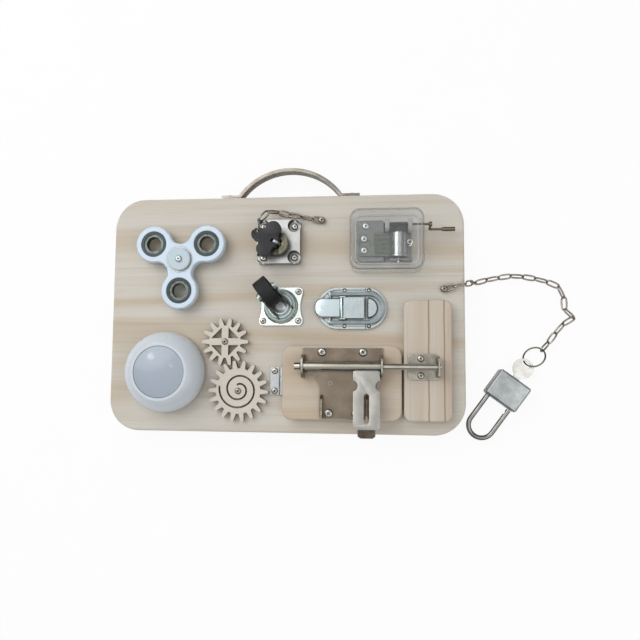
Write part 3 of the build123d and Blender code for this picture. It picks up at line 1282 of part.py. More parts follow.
for x, y in plate_screws:
    padbolt_plate -= bar(LARGE_SHANK + HOLE_PLAY, DOOR_TOP - OVERRUN, plate_top + OVERRUN, x, y)
    padbolt_screws.append(Pos(x, y, plate_top) * large_screw)
padbolt_plate -= bar(
    PADBOLT_SPARE_HOLE, DOOR_TOP - OVERRUN, plate_top + OVERRUN, PADBOLT_SPARE_X, PADBOLT_SPARE_Y
)
parts["padbolt_plate"] = padbolt_plate
hasp_left = HASP_X - HASP_WIDTH / 2
hasp_right = HASP_X + HASP_WIDTH / 2
knob_end = plate_left - KNOB_CLEAR
rod = bar_x(ROD_RADIUS, knob_end - KNOB_LENGTH, ROD_TIP, ROD_Y, rod_z)
rod = chamfer(rod.edges().group_by(Axis.X)[-1], KEEPER_PLATE)
rod += bar_x(KNOB_RADIUS, knob_end - KNOB_LENGTH, knob_end, ROD_Y, rod_z)
rod += bar_x(COLLAR_RADIUS, hasp_left, hasp_left + COLLAR_LENGTH, ROD_Y, rod_z)
rod += bar_x(COLLAR_RADIUS, hasp_right - COLLAR_LENGTH, hasp_right, ROD_Y, rod_z)
parts["padbolt_rod"] = rod
# The hasp is drawn flat, with its length along +X from the rod's axis, and then turned
hasp_outline = Pos(HASP_LENGTH / 2, 0) * Rectangle(HASP_LENGTH, HASP_WIDTH)
hasp_outline = chamfer(hasp_outline.vertices().group_by(Axis.X)[-1], HASP_CORNER)
bite_y = HASP_NECK_HALF + HASP_NECK_BITE
hasp_outline -= [Pos(HASP_NECK_AT, s * bite_y) * Circle(HASP_NECK_BITE) for s in (-1, 1)]
hasp_slot = HASP_SLOT_END - HASP_SLOT_START
hasp_outline -= Pos((HASP_SLOT_START + HASP_SLOT_END) / 2, 0) * SlotOverall(
    hasp_slot, HASP_SLOT_WIDTH
)
hasp = raised(hasp_outline, -HASP_THICKNESS / 2, HASP_THICKNESS / 2)
lip_outline = Pos(HASP_LIP_LENGTH / 2, 0) * Rectangle(HASP_LIP_LENGTH, HASP_LIP_WIDTH)
lip_outline = chamfer(lip_outline.vertices().group_by(Axis.X)[-1], HASP_CORNER)
lip = Pos(HASP_LENGTH - HASP_THICKNESS / 2, 0, 0) * Rot(0, HASP_LIP_BEND, 0) * raised(
    lip_outline, -HASP_THICKNESS / 2, HASP_THICKNESS / 2
)
hasp += lip
hasp -= bar_y(HASP_SLEEVE + AIR, -HASP_WIDTH, HASP_WIDTH, 0, 0)
half_sleeve = HASP_WIDTH / 2 - COLLAR_LENGTH - AIR
hasp += box(
    0, 2 * HASP_SLEEVE, -half_sleeve, half_sleeve, -HASP_THICKNESS / 2, HASP_THICKNESS / 2
)
hasp += bar_y(HASP_SLEEVE, -half_sleeve, half_sleeve, 0, 0)
hasp -= bar_y(ROD_RADIUS + RUNNING, -HASP_WIDTH, HASP_WIDTH, 0, 0)
parts["padbolt_hasp"] = Pos(HASP_X, ROD_Y, rod_z) * Rot(0, 0, -90) * Rot(0, -HASP_LIFT, 0) * hasp

staple_far = STAPLE_LENGTH - 2 * STAPLE_WIRE
staple_top = STAPLE_HEIGHT - STAPLE_WIRE
staple_line = Polyline(
    (0, 0, 0),
    (0, 0, staple_top - STAPLE_BEND),
    (0, -STAPLE_BEND, staple_top),
    (0, STAPLE_BEND - staple_far, staple_top),
    (0, -staple_far, staple_top - STAPLE_BEND),
    (0, -staple_far, 0),
)
staple = sweep(
    RegularPolygon(STAPLE_WIRE, LINK_SIDES), path=staple_line, transition=Transition.RIGHT
)
staple_y = ROD_Y - STAPLE_START - STAPLE_WIRE
parts["padbolt_staples"] = group(
    Pos(x, staple_y, plate_top) * staple for x in (HASP_X, HASP_X - BOLT_TRAVEL)
)
keeper_left = block_x + KEEPER_INSET
keeper_right = keeper_left + KEEPER_LENGTH
keeper_top = DOOR_TOP + KEEPER_PLATE
keeper = panel(
    KEEPER_LENGTH,
    KEEPER_WIDTH,
    KEEPER_CORNER,
    DOOR_TOP,
    keeper_top,
    keeper_left + KEEPER_LENGTH / 2,
    ROD_Y,
)
flange_outline = Pos(ROD_Y, DOOR_TOP) * Rectangle(
    KEEPER_WIDTH - 2 * KEEPER_CORNER, KEEPER_FLANGE, align=(Align.CENTER, Align.MIN)
)
flange_outline = fillet(flange_outline.vertices().group_by(Axis.Y)[-1], KEEPER_CORNER)
flange = extrude(Plane.YZ * flange_outline, amount=KEEPER_PLATE)
keeper += Pos(keeper_right - KEEPER_PLATE, 0, 0) * flange
keeper -= bar_x(
    ROD_RADIUS + AIR, keeper_right - 2 * KEEPER_PLATE, keeper_right + OVERRUN, ROD_Y, rod_z
)
for side in (-1, 1):
    x = keeper_left + KEEPER_SCREW_X
    y = ROD_Y + side * KEEPER_SCREW_SPACING / 2
    keeper -= bar(SMALL_SHANK + HOLE_PLAY, DOOR_TOP - OVERRUN, keeper_top + OVERRUN, x, y)
    small_screws.append(Pos(x, y, keeper_top) * small_screw)
parts["padbolt_keeper"] = keeper
parts["padbolt_screws"] = group(padbolt_screws)
parts["small_screws"] = group(small_screws)

# Padlock: its frame has +X along the shackle, its origin under the middle of the case
ring_way = radians(RING_DIRECTION)
padlock_way = radians(PADLOCK_DIRECTION)
half_case = PADLOCK_LENGTH / 2
case_middle = PADLOCK_THICKNESS / 2
bow_x = -half_case - PADLOCK_BOW_NECK - PADLOCK_BOW
eye_bow_x = bow_x - PADLOCK_BOW + PADLOCK_EYE_EDGE
last_end = lock_ends[-1]
ring_reach = 2 * RING_RADIUS - RING_WIRE - AIR - LINK_SLACK / 2
eye_x = last_end.X - ring_reach * cos(ring_way)
eye_y = last_end.Y - ring_reach * sin(ring_way)
padlock_x = eye_x - eye_bow_x * cos(padlock_way)
padlock_y = eye_y - eye_bow_x * sin(padlock_way)
padlock_place = Pos(padlock_x, padlock_y, 0) * Rot(0, 0, PADLOCK_DIRECTION)
padlock = Pos(0, 0, 0) * Box(PADLOCK_LENGTH, PADLOCK_WIDTH, PADLOCK_THICKNESS, align=FLOOR)
padlock = chamfer(padlock.edges(), PADLOCK_CHAMFER)
leg_bottom = half_case - SHACKLE_DEPTH
for side in (-1, 1):
    padlock -= bar_x(
        SHACKLE_WIRE + RUNNING, leg_bottom - RUNNING, half_case + OVERRUN, side * SHACKLE_HALF, case_middle
    )
padlock -= bar_x(
    PLUG_RADIUS + RUNNING, -half_case - OVERRUN, -half_case + PLUG_LENGTH + RUNNING, 0, case_middle
)
parts["padlock_case"] = padlock_place * padlock
blade_half = PADLOCK_KEY_WIDTH / 2
blade_thin = PADLOCK_KEY_THICKNESS / 2
plug_end = -half_case + PLUG_LENGTH
cylinder = bar_x(PLUG_RADIUS, -half_case, plug_end, 0, case_middle)
cylinder -= box(
    -half_case - OVERRUN,
    -half_case + PADLOCK_KEY_DEPTH + RUNNING,
    -blade_half - RUNNING,
    blade_half + RUNNING,
    case_middle - blade_thin - RUNNING,
    case_middle + blade_thin + RUNNING,
)
parts["padlock_cylinder"] = padlock_place * cylinder
key_outline = Pos(bow_x, 0) * Circle(PADLOCK_BOW)
key_length = -half_case + PADLOCK_KEY_DEPTH - bow_x
key_outline += Pos(bow_x + key_length / 2, 0) * Rectangle(key_length, PADLOCK_KEY_WIDTH)
key_outline -= Pos(eye_bow_x, 0) * Rot(0, 0, 90) * SlotOverall(PADLOCK_EYE_LENGTH, PADLOCK_EYE_WIDTH)
parts["padlock_key"] = padlock_place * raised(
    key_outline, case_middle - blade_thin, case_middle + blade_thin
)
ring_section = Plane(origin=(RING_RADIUS, 0, 0), x_dir=(1, 0, 0), z_dir=(0, 1, 0)) * RegularPolygon(
    RING_WIRE, RING_SIDES
)
ring = revolve(ring_section, axis=Axis.Z)
ring_place = Pos(eye_x, eye_y, case_middle) * Rot(0, 0, RING_DIRECTION) * Pos(RING_RADIUS, 0, 0)
parts["split_ring"] = ring_place * Rot(RING_TILT, 0, 0) * ring
bend_x = half_case + SHACKLE_REACH - SHACKLE_WIRE - SHACKLE_HALF
long_leg = bar_x(SHACKLE_WIRE, leg_bottom + AIR, bend_x, -SHACKLE_HALF, case_middle)
toe = half_case + SHACKLE_TOE_GAP
short_leg = bar_x(SHACKLE_WIRE, toe, bend_x, SHACKLE_HALF, case_middle)
bend_section = Plane.XZ * Pos(SHACKLE_HALF, 0) * Circle(SHACKLE_WIRE)
shackle_bend = revolve(bend_section, axis=Axis.Z, revolution_arc=180)
shackle = long_leg + short_leg + Pos(bend_x, 0, case_middle) * Rot(0, 0, -90) * shackle_bend
notch = toe + SHACKLE_NOTCH_AT
shackle -= box(
    notch - SHACKLE_NOTCH,
    notch + SHACKLE_NOTCH,
    SHACKLE_HALF - 2 * SHACKLE_WIRE,
    SHACKLE_HALF - SHACKLE_WIRE / 2,
    case_middle - 2 * SHACKLE_WIRE,
    case_middle + 2 * SHACKLE_WIRE,
)
parts["padlock_shackle"] = padlock_place * shackle

os.makedirs("parts", exist_ok=True)
for name, shape in parts.items():
    export_step(shape, f"parts/{name}.step")
print(len(parts), "nodes")
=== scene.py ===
"""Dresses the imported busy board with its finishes, its screws, its chains and its small fittings."""

import json
import logging
import random
from dataclasses import dataclass, field
from enum import Enum
from functools import cache
from math import cos, pi, radians, sin
from typing import Callable, Sequence

import bmesh
import bpy
from mathutils import Matrix, Vector


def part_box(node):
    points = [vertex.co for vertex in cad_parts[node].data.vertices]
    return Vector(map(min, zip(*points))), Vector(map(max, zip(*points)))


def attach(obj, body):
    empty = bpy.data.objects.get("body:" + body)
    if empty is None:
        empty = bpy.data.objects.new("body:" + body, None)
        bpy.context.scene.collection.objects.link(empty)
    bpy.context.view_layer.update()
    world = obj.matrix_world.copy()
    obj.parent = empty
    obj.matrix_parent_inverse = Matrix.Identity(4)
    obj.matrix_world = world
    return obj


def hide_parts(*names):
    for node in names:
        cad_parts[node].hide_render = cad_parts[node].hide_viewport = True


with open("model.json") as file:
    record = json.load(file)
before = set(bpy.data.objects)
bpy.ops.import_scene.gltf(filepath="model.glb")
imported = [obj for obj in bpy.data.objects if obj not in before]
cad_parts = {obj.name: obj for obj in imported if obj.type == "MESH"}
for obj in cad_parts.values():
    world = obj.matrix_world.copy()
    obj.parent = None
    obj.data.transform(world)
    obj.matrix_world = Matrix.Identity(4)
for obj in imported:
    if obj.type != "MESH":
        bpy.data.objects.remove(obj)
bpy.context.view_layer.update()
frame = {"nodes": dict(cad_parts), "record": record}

log = logging.getLogger("busy_board")

MM = 0.001
# A face looks up or down where its normal's Z goes past this.
UPRIGHT = 0.9
Point = tuple[float, float, float]
Colour = str | Point
# Places from 0 to 1 on a ramp, each with its colour.
Stops = Sequence[tuple[float, Colour]]
# Insets and the rises that follow them, as shares of two lengths.
Steps = Sequence[tuple[float, float]]
Material = bpy.types.Material
Socket = bpy.types.NodeSocket
Piece = bpy.types.Object


class Slot(Enum):
    """The record's material slots, given alongside new pieces."""

    NICKEL = "nickel"
    CHAIN = "chain"
    STEEL = "steel"
    SATIN = "satin"
    WHITE = "white"
    RUBBER = "rubber"
    CLEAR = "clear"


class Grain(Enum):
    """The way that wood's grain or a metal's marks run, as stretches along X, Y and Z."""

    NONE = (1.0, 1.0, 1.0)
    ALONG_BOARD = (0.03, 1.0, 1.0)
    ACROSS_BOARD = (1.0, 0.03, 1.0)


class Side(Enum):
    """The side of a level that a zone lies on, as an axis and the test that finds it."""

    ABOVE_Z = ("Z", "GREATER_THAN")
    BELOW_Z = ("Z", "LESS_THAN")
    BELOW_Y = ("Y", "LESS_THAN")
    BELOW_X = ("X", "LESS_THAN")


def configure(thing: object, **settings: object) -> None:
    """Sets a thing's own settings by name."""
    for name, value in settings.items():
        setattr(thing, name, value)


def linear(colour: Colour) -> Point:
    """Makes a paint chart's colour linear, and leaves a linear one as it is.

    Args:
        colour: six hexadecimal digits after a hash, or red, green and blue from 0 to 1.

    Returns:
        Red, green and blue from 0 to 1.
    """
    if not isinstance(colour, str):
        return colour
    parts = (int(colour[at : at + 2], 16) / 255 for at in (1, 3, 5))
    return tuple(p / 12.92 if p <= 0.04045 else ((p + 0.055) / 1.055) ** 2.4 for p in parts)


class Graph:
    """A node tree, with short calls that add nodes and feed them."""

    def __init__(self, owner: Material | bpy.types.World) -> None:
        """Takes a tree and empties it.

        Args:
            owner: the material or the world that has the tree.
        """
        owner.use_nodes = True
        self.tree = owner.node_tree
        self.tree.nodes.clear()

    def add(self, kind: str, feeds: dict | None = None, **settings: object) -> bpy.types.Node:
        """Adds a node.

        Args:
            kind: the node's type.
            feeds: values or sockets for the node's inputs, by name or number.
            settings: the node's own settings by name.

        Returns:
            The new node.
        """
        node = self.tree.nodes.new("ShaderNode" + kind)
        configure(node, **settings)
        for key, value in (feeds or {}).items():
            self.feed(value, node.inputs[key])
        return node

    def feed(self, value: object, target: Socket) -> None:
        """Sets a socket to a number or colour, or joins another socket to it.

        Args:
            value: the number, colour or socket.
            target: the socket that takes it.
        """
        if isinstance(value, Socket):
            self.tree.links.new(value, target)
        elif target.type == "RGBA":
            target.default_value = (*linear(value), 1)
        else:
            target.default_value = value

    def axes(self, vector: Socket) -> Sequence[Socket]:
        """Splits a vector into its X, Y and Z."""
        return self.add("SeparateXYZ", {0: vector}).outputs

    def ramp(self, value: Socket, stops: Stops) -> Socket:
        """Turns a value into a colour by stops.

        Args:
            value: the socket that is read.
            stops: places from 0 to 1 with their colours.

        Returns:
            The colour's socket.
        """
        node = self.add("ValToRGB", {"Fac": value})
        marks = node.color_ramp.elements
        while len(marks) < len(stops):
            marks.new(0.5)
        for mark, (at, colour) in zip(marks, stops):
            mark.position = at
            mark.color = (*linear(colour), 1)
        return node.outputs["Color"]

    def spread(self, value: Socket, low: float, high: float, start: float, end: float) -> Socket:
        """Maps a value from low and high to start and end, and keeps it between them."""
        feeds = {"Value": value, "From Min": low, "From Max": high, "To Min": start, "To Max": end}
        return self.add("MapRange", feeds).outputs["Result"]

    def sum(self, kind: str, first: object, second: object = 0) -> Socket:
        """Works out a sum of two values, such as ADD, MULTIPLY or GREATER_THAN."""
        return self.add("Math", {0: first, 1: second}, operation=kind).outputs[0]

    def blend(self, share: Socket, first: Socket, second: Socket) -> Socket:
        """Mixes two shaders by the second one's share."""
        return self.add("MixShader", {0: share, 1: first, 2: second}).outputs["Shader"]


class Surface(Graph):
    """A material's tree: one shader, its output, and the patterns that the finishes share."""

    def __init__(self, name: str) -> None:
        """Starts a material with one shader and its output.

        Args:
            name: what the material is called.
        """
        self.material = bpy.data.materials.new(name)
        super().__init__(self.material)
        self.shader = self.add("BsdfPrincipled")
        self.output = self.add("OutputMaterial", {"Surface": self.shader.outputs["BSDF"]})
        self.place = self.add("TexCoord").outputs["Object"]

    def stretched(self, scale: Point, shift: Point = (0, 0, 0)) -> Socket:
        """The place on the piece, stretched on each axis and shifted by metres."""
        return self.add("Mapping", {"Scale": scale, "Location": shift, "Vector": self.place}).outputs[0]

    def noise(
        self, vector: Socket, scale: float, detail: float = 3, rough: float = 0.5, twist: float = 0
    ) -> Socket:
        """A soft random pattern, with its repeats per metre, finer layers and distortion."""
        feeds = {"Scale": scale, "Detail": detail, "Roughness": rough, "Distortion": twist}
        return self.add("TexNoise", {"Vector": vector} | feeds).outputs["Fac"]

    def mix(self, share: object, first: object, second: object) -> Socket:
        """Mixes two colours by the second one's share."""
        return self.add("Mix", {0: share, 6: first, 7: second}, data_type="RGBA").outputs[2]

    def lay_tone(self, colour: Socket, marks: Socket, strength: float, tone: Colour) -> Socket:
        """Lays a tone over a colour where marks show: real stains, painted shade and painted highlights
        alike.
        """
        return self.mix(self.sum("MULTIPLY", marks, strength), colour, tone)

    def edges(self, radius: float) -> Socket:
        """The normal with hard edges rounded over by a radius in metres."""
        return self.add("Bevel", {"Radius": radius}, samples=4).outputs["Normal"]

    def rims(self, radius: float) -> Socket:
        """How close the surface is to a hard edge, from 0 away from it to 1 on it.

        Args:
            radius: how far the edge reaches, in metres.

        Returns:
            The value's socket.
        """
        normals = {0: self.add("NewGeometry").outputs["Normal"], 1: self.edges(radius)}
        turned = self.add("VectorMath", normals, operation="DOT_PRODUCT").outputs["Value"]
        return self.spread(turned, 0.8, 0.99, 1, 0)

    def crevices(self, reach: float) -> Socket:
        """How deep the surface lies in a corner, from 0 in the open to 1, within a reach in metres; it
        sets where shade is painted.
        """
        corner = self.add("AmbientOcclusion", {"Distance": reach}, samples=8)
        return self.spread(corner.outputs["AO"], 0.35, 0.85, 1, 0)

    def bump(self, height: Socket, depth: float, strength: float, **normal: Socket) -> Socket:
        """Makes a pattern stand out by a depth in metres from the plain surface or from Normal."""
        feeds = {"Distance": depth, "Strength": strength, "Height": height}
        return self.add("Bump", feeds | normal).outputs["Normal"]

    def finish(self, **inputs: object) -> Material:
        """Gives the shader its values.

        Args:
            inputs: the shader's inputs by name, with _ for each space.

        Returns:
            The finished material.
        """
        for name, value in inputs.items():
            self.feed(value, self.shader.inputs[name.replace("_", " ")])
        return self.material


@dataclass(frozen=True)
class Zone:
    """A part of a piece, on one side of a level in metres, that has a look of its own."""

    side: Side
    level: float
    colour: Colour
    streak: Colour
    grain: Grain = Grain.NONE
    pitch: float = 200.0

    def over(self, g: Surface, colour: Socket) -> Socket:
        """Lays the zone's own colour over the rest.

        Args:
            g: the material's graph.
            colour: the colour so far.

        Returns:
            The colour's socket.
        """
        marks = g.noise(g.stretched(self.grain.value), self.pitch, 3, 0.6)
        own = g.mix(g.spread(marks, 0.4, 0.62, 0, 1), self.colour, self.streak)
        axis, test = self.side.value
        return g.mix(g.sum(test, g.axes(g.place)[axis], self.level), colour, own)


@dataclass(frozen=True)
class Rings:
    """Rings of painted highlight and painted shade round an upright axis, each a radius in metres with its
    colour.
    """

    centre: Point
    reach: float
    stops: Stops
    strength: float = 0.85

    def over(self, g: Surface, colour: Socket) -> Socket:
        """Lays the rings over the rest.

        Args:
            g: the material's graph.
            colour: the colour so far.

        Returns:
            The colour's socket.
        """
        spot = g.stretched((1, 1, 0), tuple(-value for value in self.centre))
        far = g.add("VectorMath", {0: spot}, operation="LENGTH").outputs["Value"]
        share = g.sum("DIVIDE", far, self.reach)
        inside = g.sum("MULTIPLY", g.sum("LESS_THAN", share, 1.0), self.strength)
        return g.mix(inside, colour, g.ramp(share, self.stops))


@dataclass(frozen=True)
class Pine:
    """Oiled pine: broad pale and tan bands along the grain, fine fibres and open pores."""

    name: str
    pale: Colour
    tan: Colour
    dark: Colour
    grain: Grain = Grain.ALONG_BOARD
    shift: Point = (0, 0, 0)
    seams: tuple[float, ...] = ()
    seam_width: float = 0.35 * MM
    seam_waver: float = 0.9 * MM
    seam_pitch: float = 60.0
    seam_brown: Colour = "#8a7058"
    band_pitch: float = 24.0
    ring_pitch: float = 130.0
    hair_pitch: float = 800.0
    pore_pitch: float = 2200.0
    band_stretch: float = 1.8
    hair_stretch: float = 0.3
    rim_width: float = 1.2 * MM
    corner_reach: float = 4 * MM
    hair_depth: float = 0.08 * MM
    edge_round: float = 0.6 * MM

    def material(self) -> Material:
        """Builds the wood's material.

        Returns:
            The material.
        """
        g = Surface(self.name)
        along, waves, fibre = (
            g.stretched(tuple(share * s if s < 1 else s for s in self.grain.value), self.shift)
            for share in (1, self.band_stretch, self.hair_stretch)
        )
        broad = g.noise(waves, self.band_pitch, 2, 0.4, 0.9)
        colour = g.ramp(broad, [(0.34, self.tan), (0.48, self.pale), (0.56, self.pale), (0.7, self.tan)])
        rings = g.noise(along, self.ring_pitch, 3, 0.6, 1.2)
        hairs = g.noise(fibre, self.hair_pitch, 4, 0.6)
        pores = g.noise(fibre, self.pore_pitch, 2, 0.5)
        for marks, low, high, share in (
            (rings, 0.52, 0.72, 0.22), (hairs, 0.45, 0.75, 0.13), (pores, 0.62, 0.72, 0.24)
        ):
            colour = g.mix(g.spread(marks, low, high, 0, share), colour, self.dark)
        colour = self.glued(g, colour)
        colour = g.lay_tone(colour, g.rims(self.rim_width), 0.25, self.dark)
        # Painted shade: the wood darkens in corners and recesses.
        colour = g.lay_tone(colour, g.crevices(self.corner_reach), 0.35, self.dark)
        return g.finish(
            Base_Color=colour, Roughness=g.spread(hairs, 0.3, 0.7, 0.5, 0.66),
            Normal=g.bump(hairs, self.hair_depth, 0.3, Normal=g.edges(self.edge_round)),
            Specular_IOR_Level=0.35,
        )

    def glued(self, g: Surface, colour: Socket) -> Socket:
        """Adds the brown lines where narrow strips are glued side by side.

        Args:
            g: the material's graph.
            colour: the colour so far.

        Returns:
            The colour's socket.
        """
        if not self.seams:
            return colour
        drift = g.sum("SUBTRACT", g.noise(g.place, self.seam_pitch, 2), 0.5)
        across = g.sum("ADD", g.axes(g.place)["X"], g.sum("MULTIPLY", drift, self.seam_waver))
        for seam in self.seams:
            gap = g.sum("ABSOLUTE", g.sum("SUBTRACT", across, seam))
            line = g.spread(gap, self.seam_width, 2 * self.seam_width, 0.75, 0)
            colour = g.mix(line, colour, self.seam_brown)
        return colour


@dataclass(frozen=True)
class BurntPly:
    """Laser-cut birch plywood: a pale face with dark, burnt walls and a smoked rim."""

    name: str
    face: Colour
    burnt: Colour
    fleck: Colour = "#baac96"
    smoke: Colour = "#967e62"
    brown: Colour = "#68523c"
    hair_pitch: float = 700.0
    soot_pitch: float = 900.0
    rim_width: float = 0.5 * MM
    hair_depth: float = 0.05 * MM

    def material(self) -> Material:
        """Builds the plywood's material.

        Returns:
            The material.
        """
        g = Surface(self.name)
        hairs = g.noise(g.stretched(Grain.ALONG_BOARD.value), self.hair_pitch, 4, 0.6)
        colour = g.mix(g.spread(hairs, 0.45, 0.75, 0, 0.3), self.face, self.fleck)
        colour = g.lay_tone(colour, g.rims(self.rim_width), 0.5, self.smoke)
        facing = g.axes(g.add("NewGeometry").outputs["True Normal"])["Z"]
        wall = g.spread(g.sum("ABSOLUTE", facing), 0.4, 0.6, 1, 0)
        soot = g.noise(g.place, self.soot_pitch, 3, 0.6)
        colour = g.mix(wall, colour, g.ramp(soot, [(0.3, self.burnt), (0.7, self.brown)]))
        return g.finish(
            Base_Color=colour, Roughness=g.spread(hairs, 0.3, 0.7, 0.6, 0.8),
            Normal=g.bump(hairs, self.hair_depth, 0.3),
        )


@dataclass(frozen=True)
class Metal:
    """Plated or bare metal: its colour and polish, its wear, painted highlights along its edges, and
    painted shade in its corners.
    """

    name: str
    colour: Colour
    rough: float
    wear: Colour
    grain: Grain = Grain.NONE
    haze: float = 0.5
    edge: float = 0.3 * MM
    crevice: float = 0.8
    # The colour of the painted shade in corners and recesses.
    corner_shade: Colour = "#302e2a"
    reach: float = 3 * MM
    cloud: float = 130.0
    # How strongly a highlight is painted along the edges.
    edge_highlight: float = 0.0
    marks: tuple[Zone | Rings, ...] = ()
    bright: Colour = "#eef0ee"
    rim_width: float = 0.7 * MM
    brush_pitch: float = 1500.0
    brush_depth: float = 0.02 * MM

    def material(self) -> Material:
        """Builds the metal's material.

        Returns:
            The material.
        """
        g = Surface(self.name)
        fine = g.noise(g.stretched(self.grain.value), self.brush_pitch, 4, 0.6)
        cloud = g.noise(g.place, self.cloud, 3, 0.55)
        colour = g.mix(g.spread(cloud, 0.35, 0.68, 0, self.haze), self.colour, self.wear)
        for mark in self.marks:
            colour = mark.over(g, colour)
        # Painted highlight: the colour lightens towards the bright colour along hard edges.
        if self.edge_highlight:
            colour = g.lay_tone(colour, g.rims(self.rim_width), self.edge_highlight, self.bright)
        # Painted shade: the colour darkens towards the shade colour in corners and recesses.
        return g.finish(
            Base_Color=g.lay_tone(colour, g.crevices(self.reach), self.crevice, self.corner_shade), Metallic=1.0,
            Roughness=g.spread(fine, 0.3, 0.7, 0.75 * self.rough, 1.4 * self.rough),
            Normal=g.bump(fine, self.brush_depth, 0.22, Normal=g.edges(self.edge)),
        )


@dataclass(frozen=True)
class Plastic:
    """Moulded plastic: its colour, its gloss and a faint mottle in both."""

    name: str
    colour: Colour
    rough: float
    tint: Colour
    glow: float = 0.0
    edge: float = 0.3 * MM
    coat: float = 0.0
    shadow: Colour = "#5a5c60"
    mottle_pitch: float = 55.0
    skin_pitch: float = 1900.0
    corner_reach: float = 2.5 * MM
    skin_depth: float = 0.015 * MM

    def material(self) -> Material:
        """Builds the plastic's material.

        Returns:
            The material.
        """
        g = Surface(self.name)
        mottle = g.noise(g.place, self.mottle_pitch, 3, 0.5)
        colour = g.mix(g.spread(mottle, 0.35, 0.65, 0, 0.5), self.colour, self.tint)
        skin = g.noise(g.place, self.skin_pitch, 2, 0.5)
        return g.finish(
            # Painted shade: the colour darkens towards the shadow colour in corners and recesses.
            Base_Color=g.lay_tone(colour, g.crevices(self.corner_reach), 0.4, self.shadow),
            Roughness=g.spread(mottle, 0.3, 0.7, self.rough * 0.85, self.rough * 1.2),
            Normal=g.bump(skin, self.skin_depth, 0.15, Normal=g.edges(self.edge)),
            Subsurface_Weight=self.glow, Subsurface_Scale=2 * MM,
            Coat_Weight=self.coat, Coat_Roughness=0.06,
        )


@dataclass(frozen=True)
class ClearPlastic:
    """A clear moulding: glass-like, with a painted highlight that makes it pale along its edges, and
    letting light through.
    """

    name: str
    tint: Colour
    # The pale colour is laid on as a faint veil of dust and as a painted highlight along the edges.
    dust_and_glint: Colour
    veil: float = 0.045
    # How strongly the edge highlight is painted.
    glint_strength: float = 0.7
    rim_width: float = 1.3 * MM
    edge: float = 0.4 * MM
    ripple_depth: float = 0.05 * MM
    ripple_pitch: float = 90.0
    dust_pitch: float = 240.0
    shadow: Colour = (0.93, 0.94, 0.94)

    def material(self) -> Material:
        """Builds the clear material.

        Returns:
            The material.
        """
        g = Surface(self.name)
        ripple = g.noise(g.place, self.ripple_pitch, 2, 0.4)
        g.finish(
            Transmission_Weight=1.0, IOR=1.42, Specular_IOR_Level=0.18, Roughness=0.03,
            Base_Color=self.tint, Normal=g.bump(ripple, self.ripple_depth, 0.2, Normal=g.edges(self.edge)),
        )
        dust_and_glint = g.add("BsdfDiffuse", {"Color": self.dust_and_glint}).outputs["BSDF"]
        dust = g.noise(g.place, self.dust_pitch, 3, 0.6)
        dust = g.spread(dust, 0.3, 0.7, 0.6 * self.veil, 1.4 * self.veil)
        # Painted highlight: the pale colour is laid on thickly along hard edges, over a faint veil of
        # dust.
        share = g.sum("ADD", dust, g.sum("MULTIPLY", g.rims(self.rim_width), self.glint_strength))
        pale = g.blend(g.sum("MINIMUM", share, 0.9), g.shader.outputs["BSDF"], dust_and_glint)
        path = g.add("LightPath").outputs
        hidden = g.sum("MAXIMUM", path["Is Shadow Ray"], path["Is Diffuse Ray"])
        through = g.add("BsdfTransparent", {"Color": self.shadow}).outputs["BSDF"]
        g.feed(g.blend(hidden, pale, through), g.output.inputs["Surface"])
        return g.material


Finish = Pine | BurntPly | Metal | Plastic | ClearPlastic


@cache
def material_of(finish: Finish) -> Material:
    """The finish's material, built once."""
    return finish.material()


def wear(piece: Piece, finish: Finish) -> None:
    """Gives a piece one finish in place of what it had."""
    piece.data.materials.clear()
    piece.data.materials.append(material_of(finish))


def body_of(node: str) -> str:
    """The body that a CAD node rides on."""
    bodies = frame["record"]["behaviour"]["bodies"]
    return next(name for name, nodes in bodies.items() if node in nodes)


def joint_of(name: str) -> tuple[Vector, Vector]:
    """A joint's place in metres and its axis."""
    joint = next(j for j in frame["record"]["behaviour"]["joints"] if j["name"] == name)
    return Vector(joint["pos_m"]), Vector(joint["axis"])


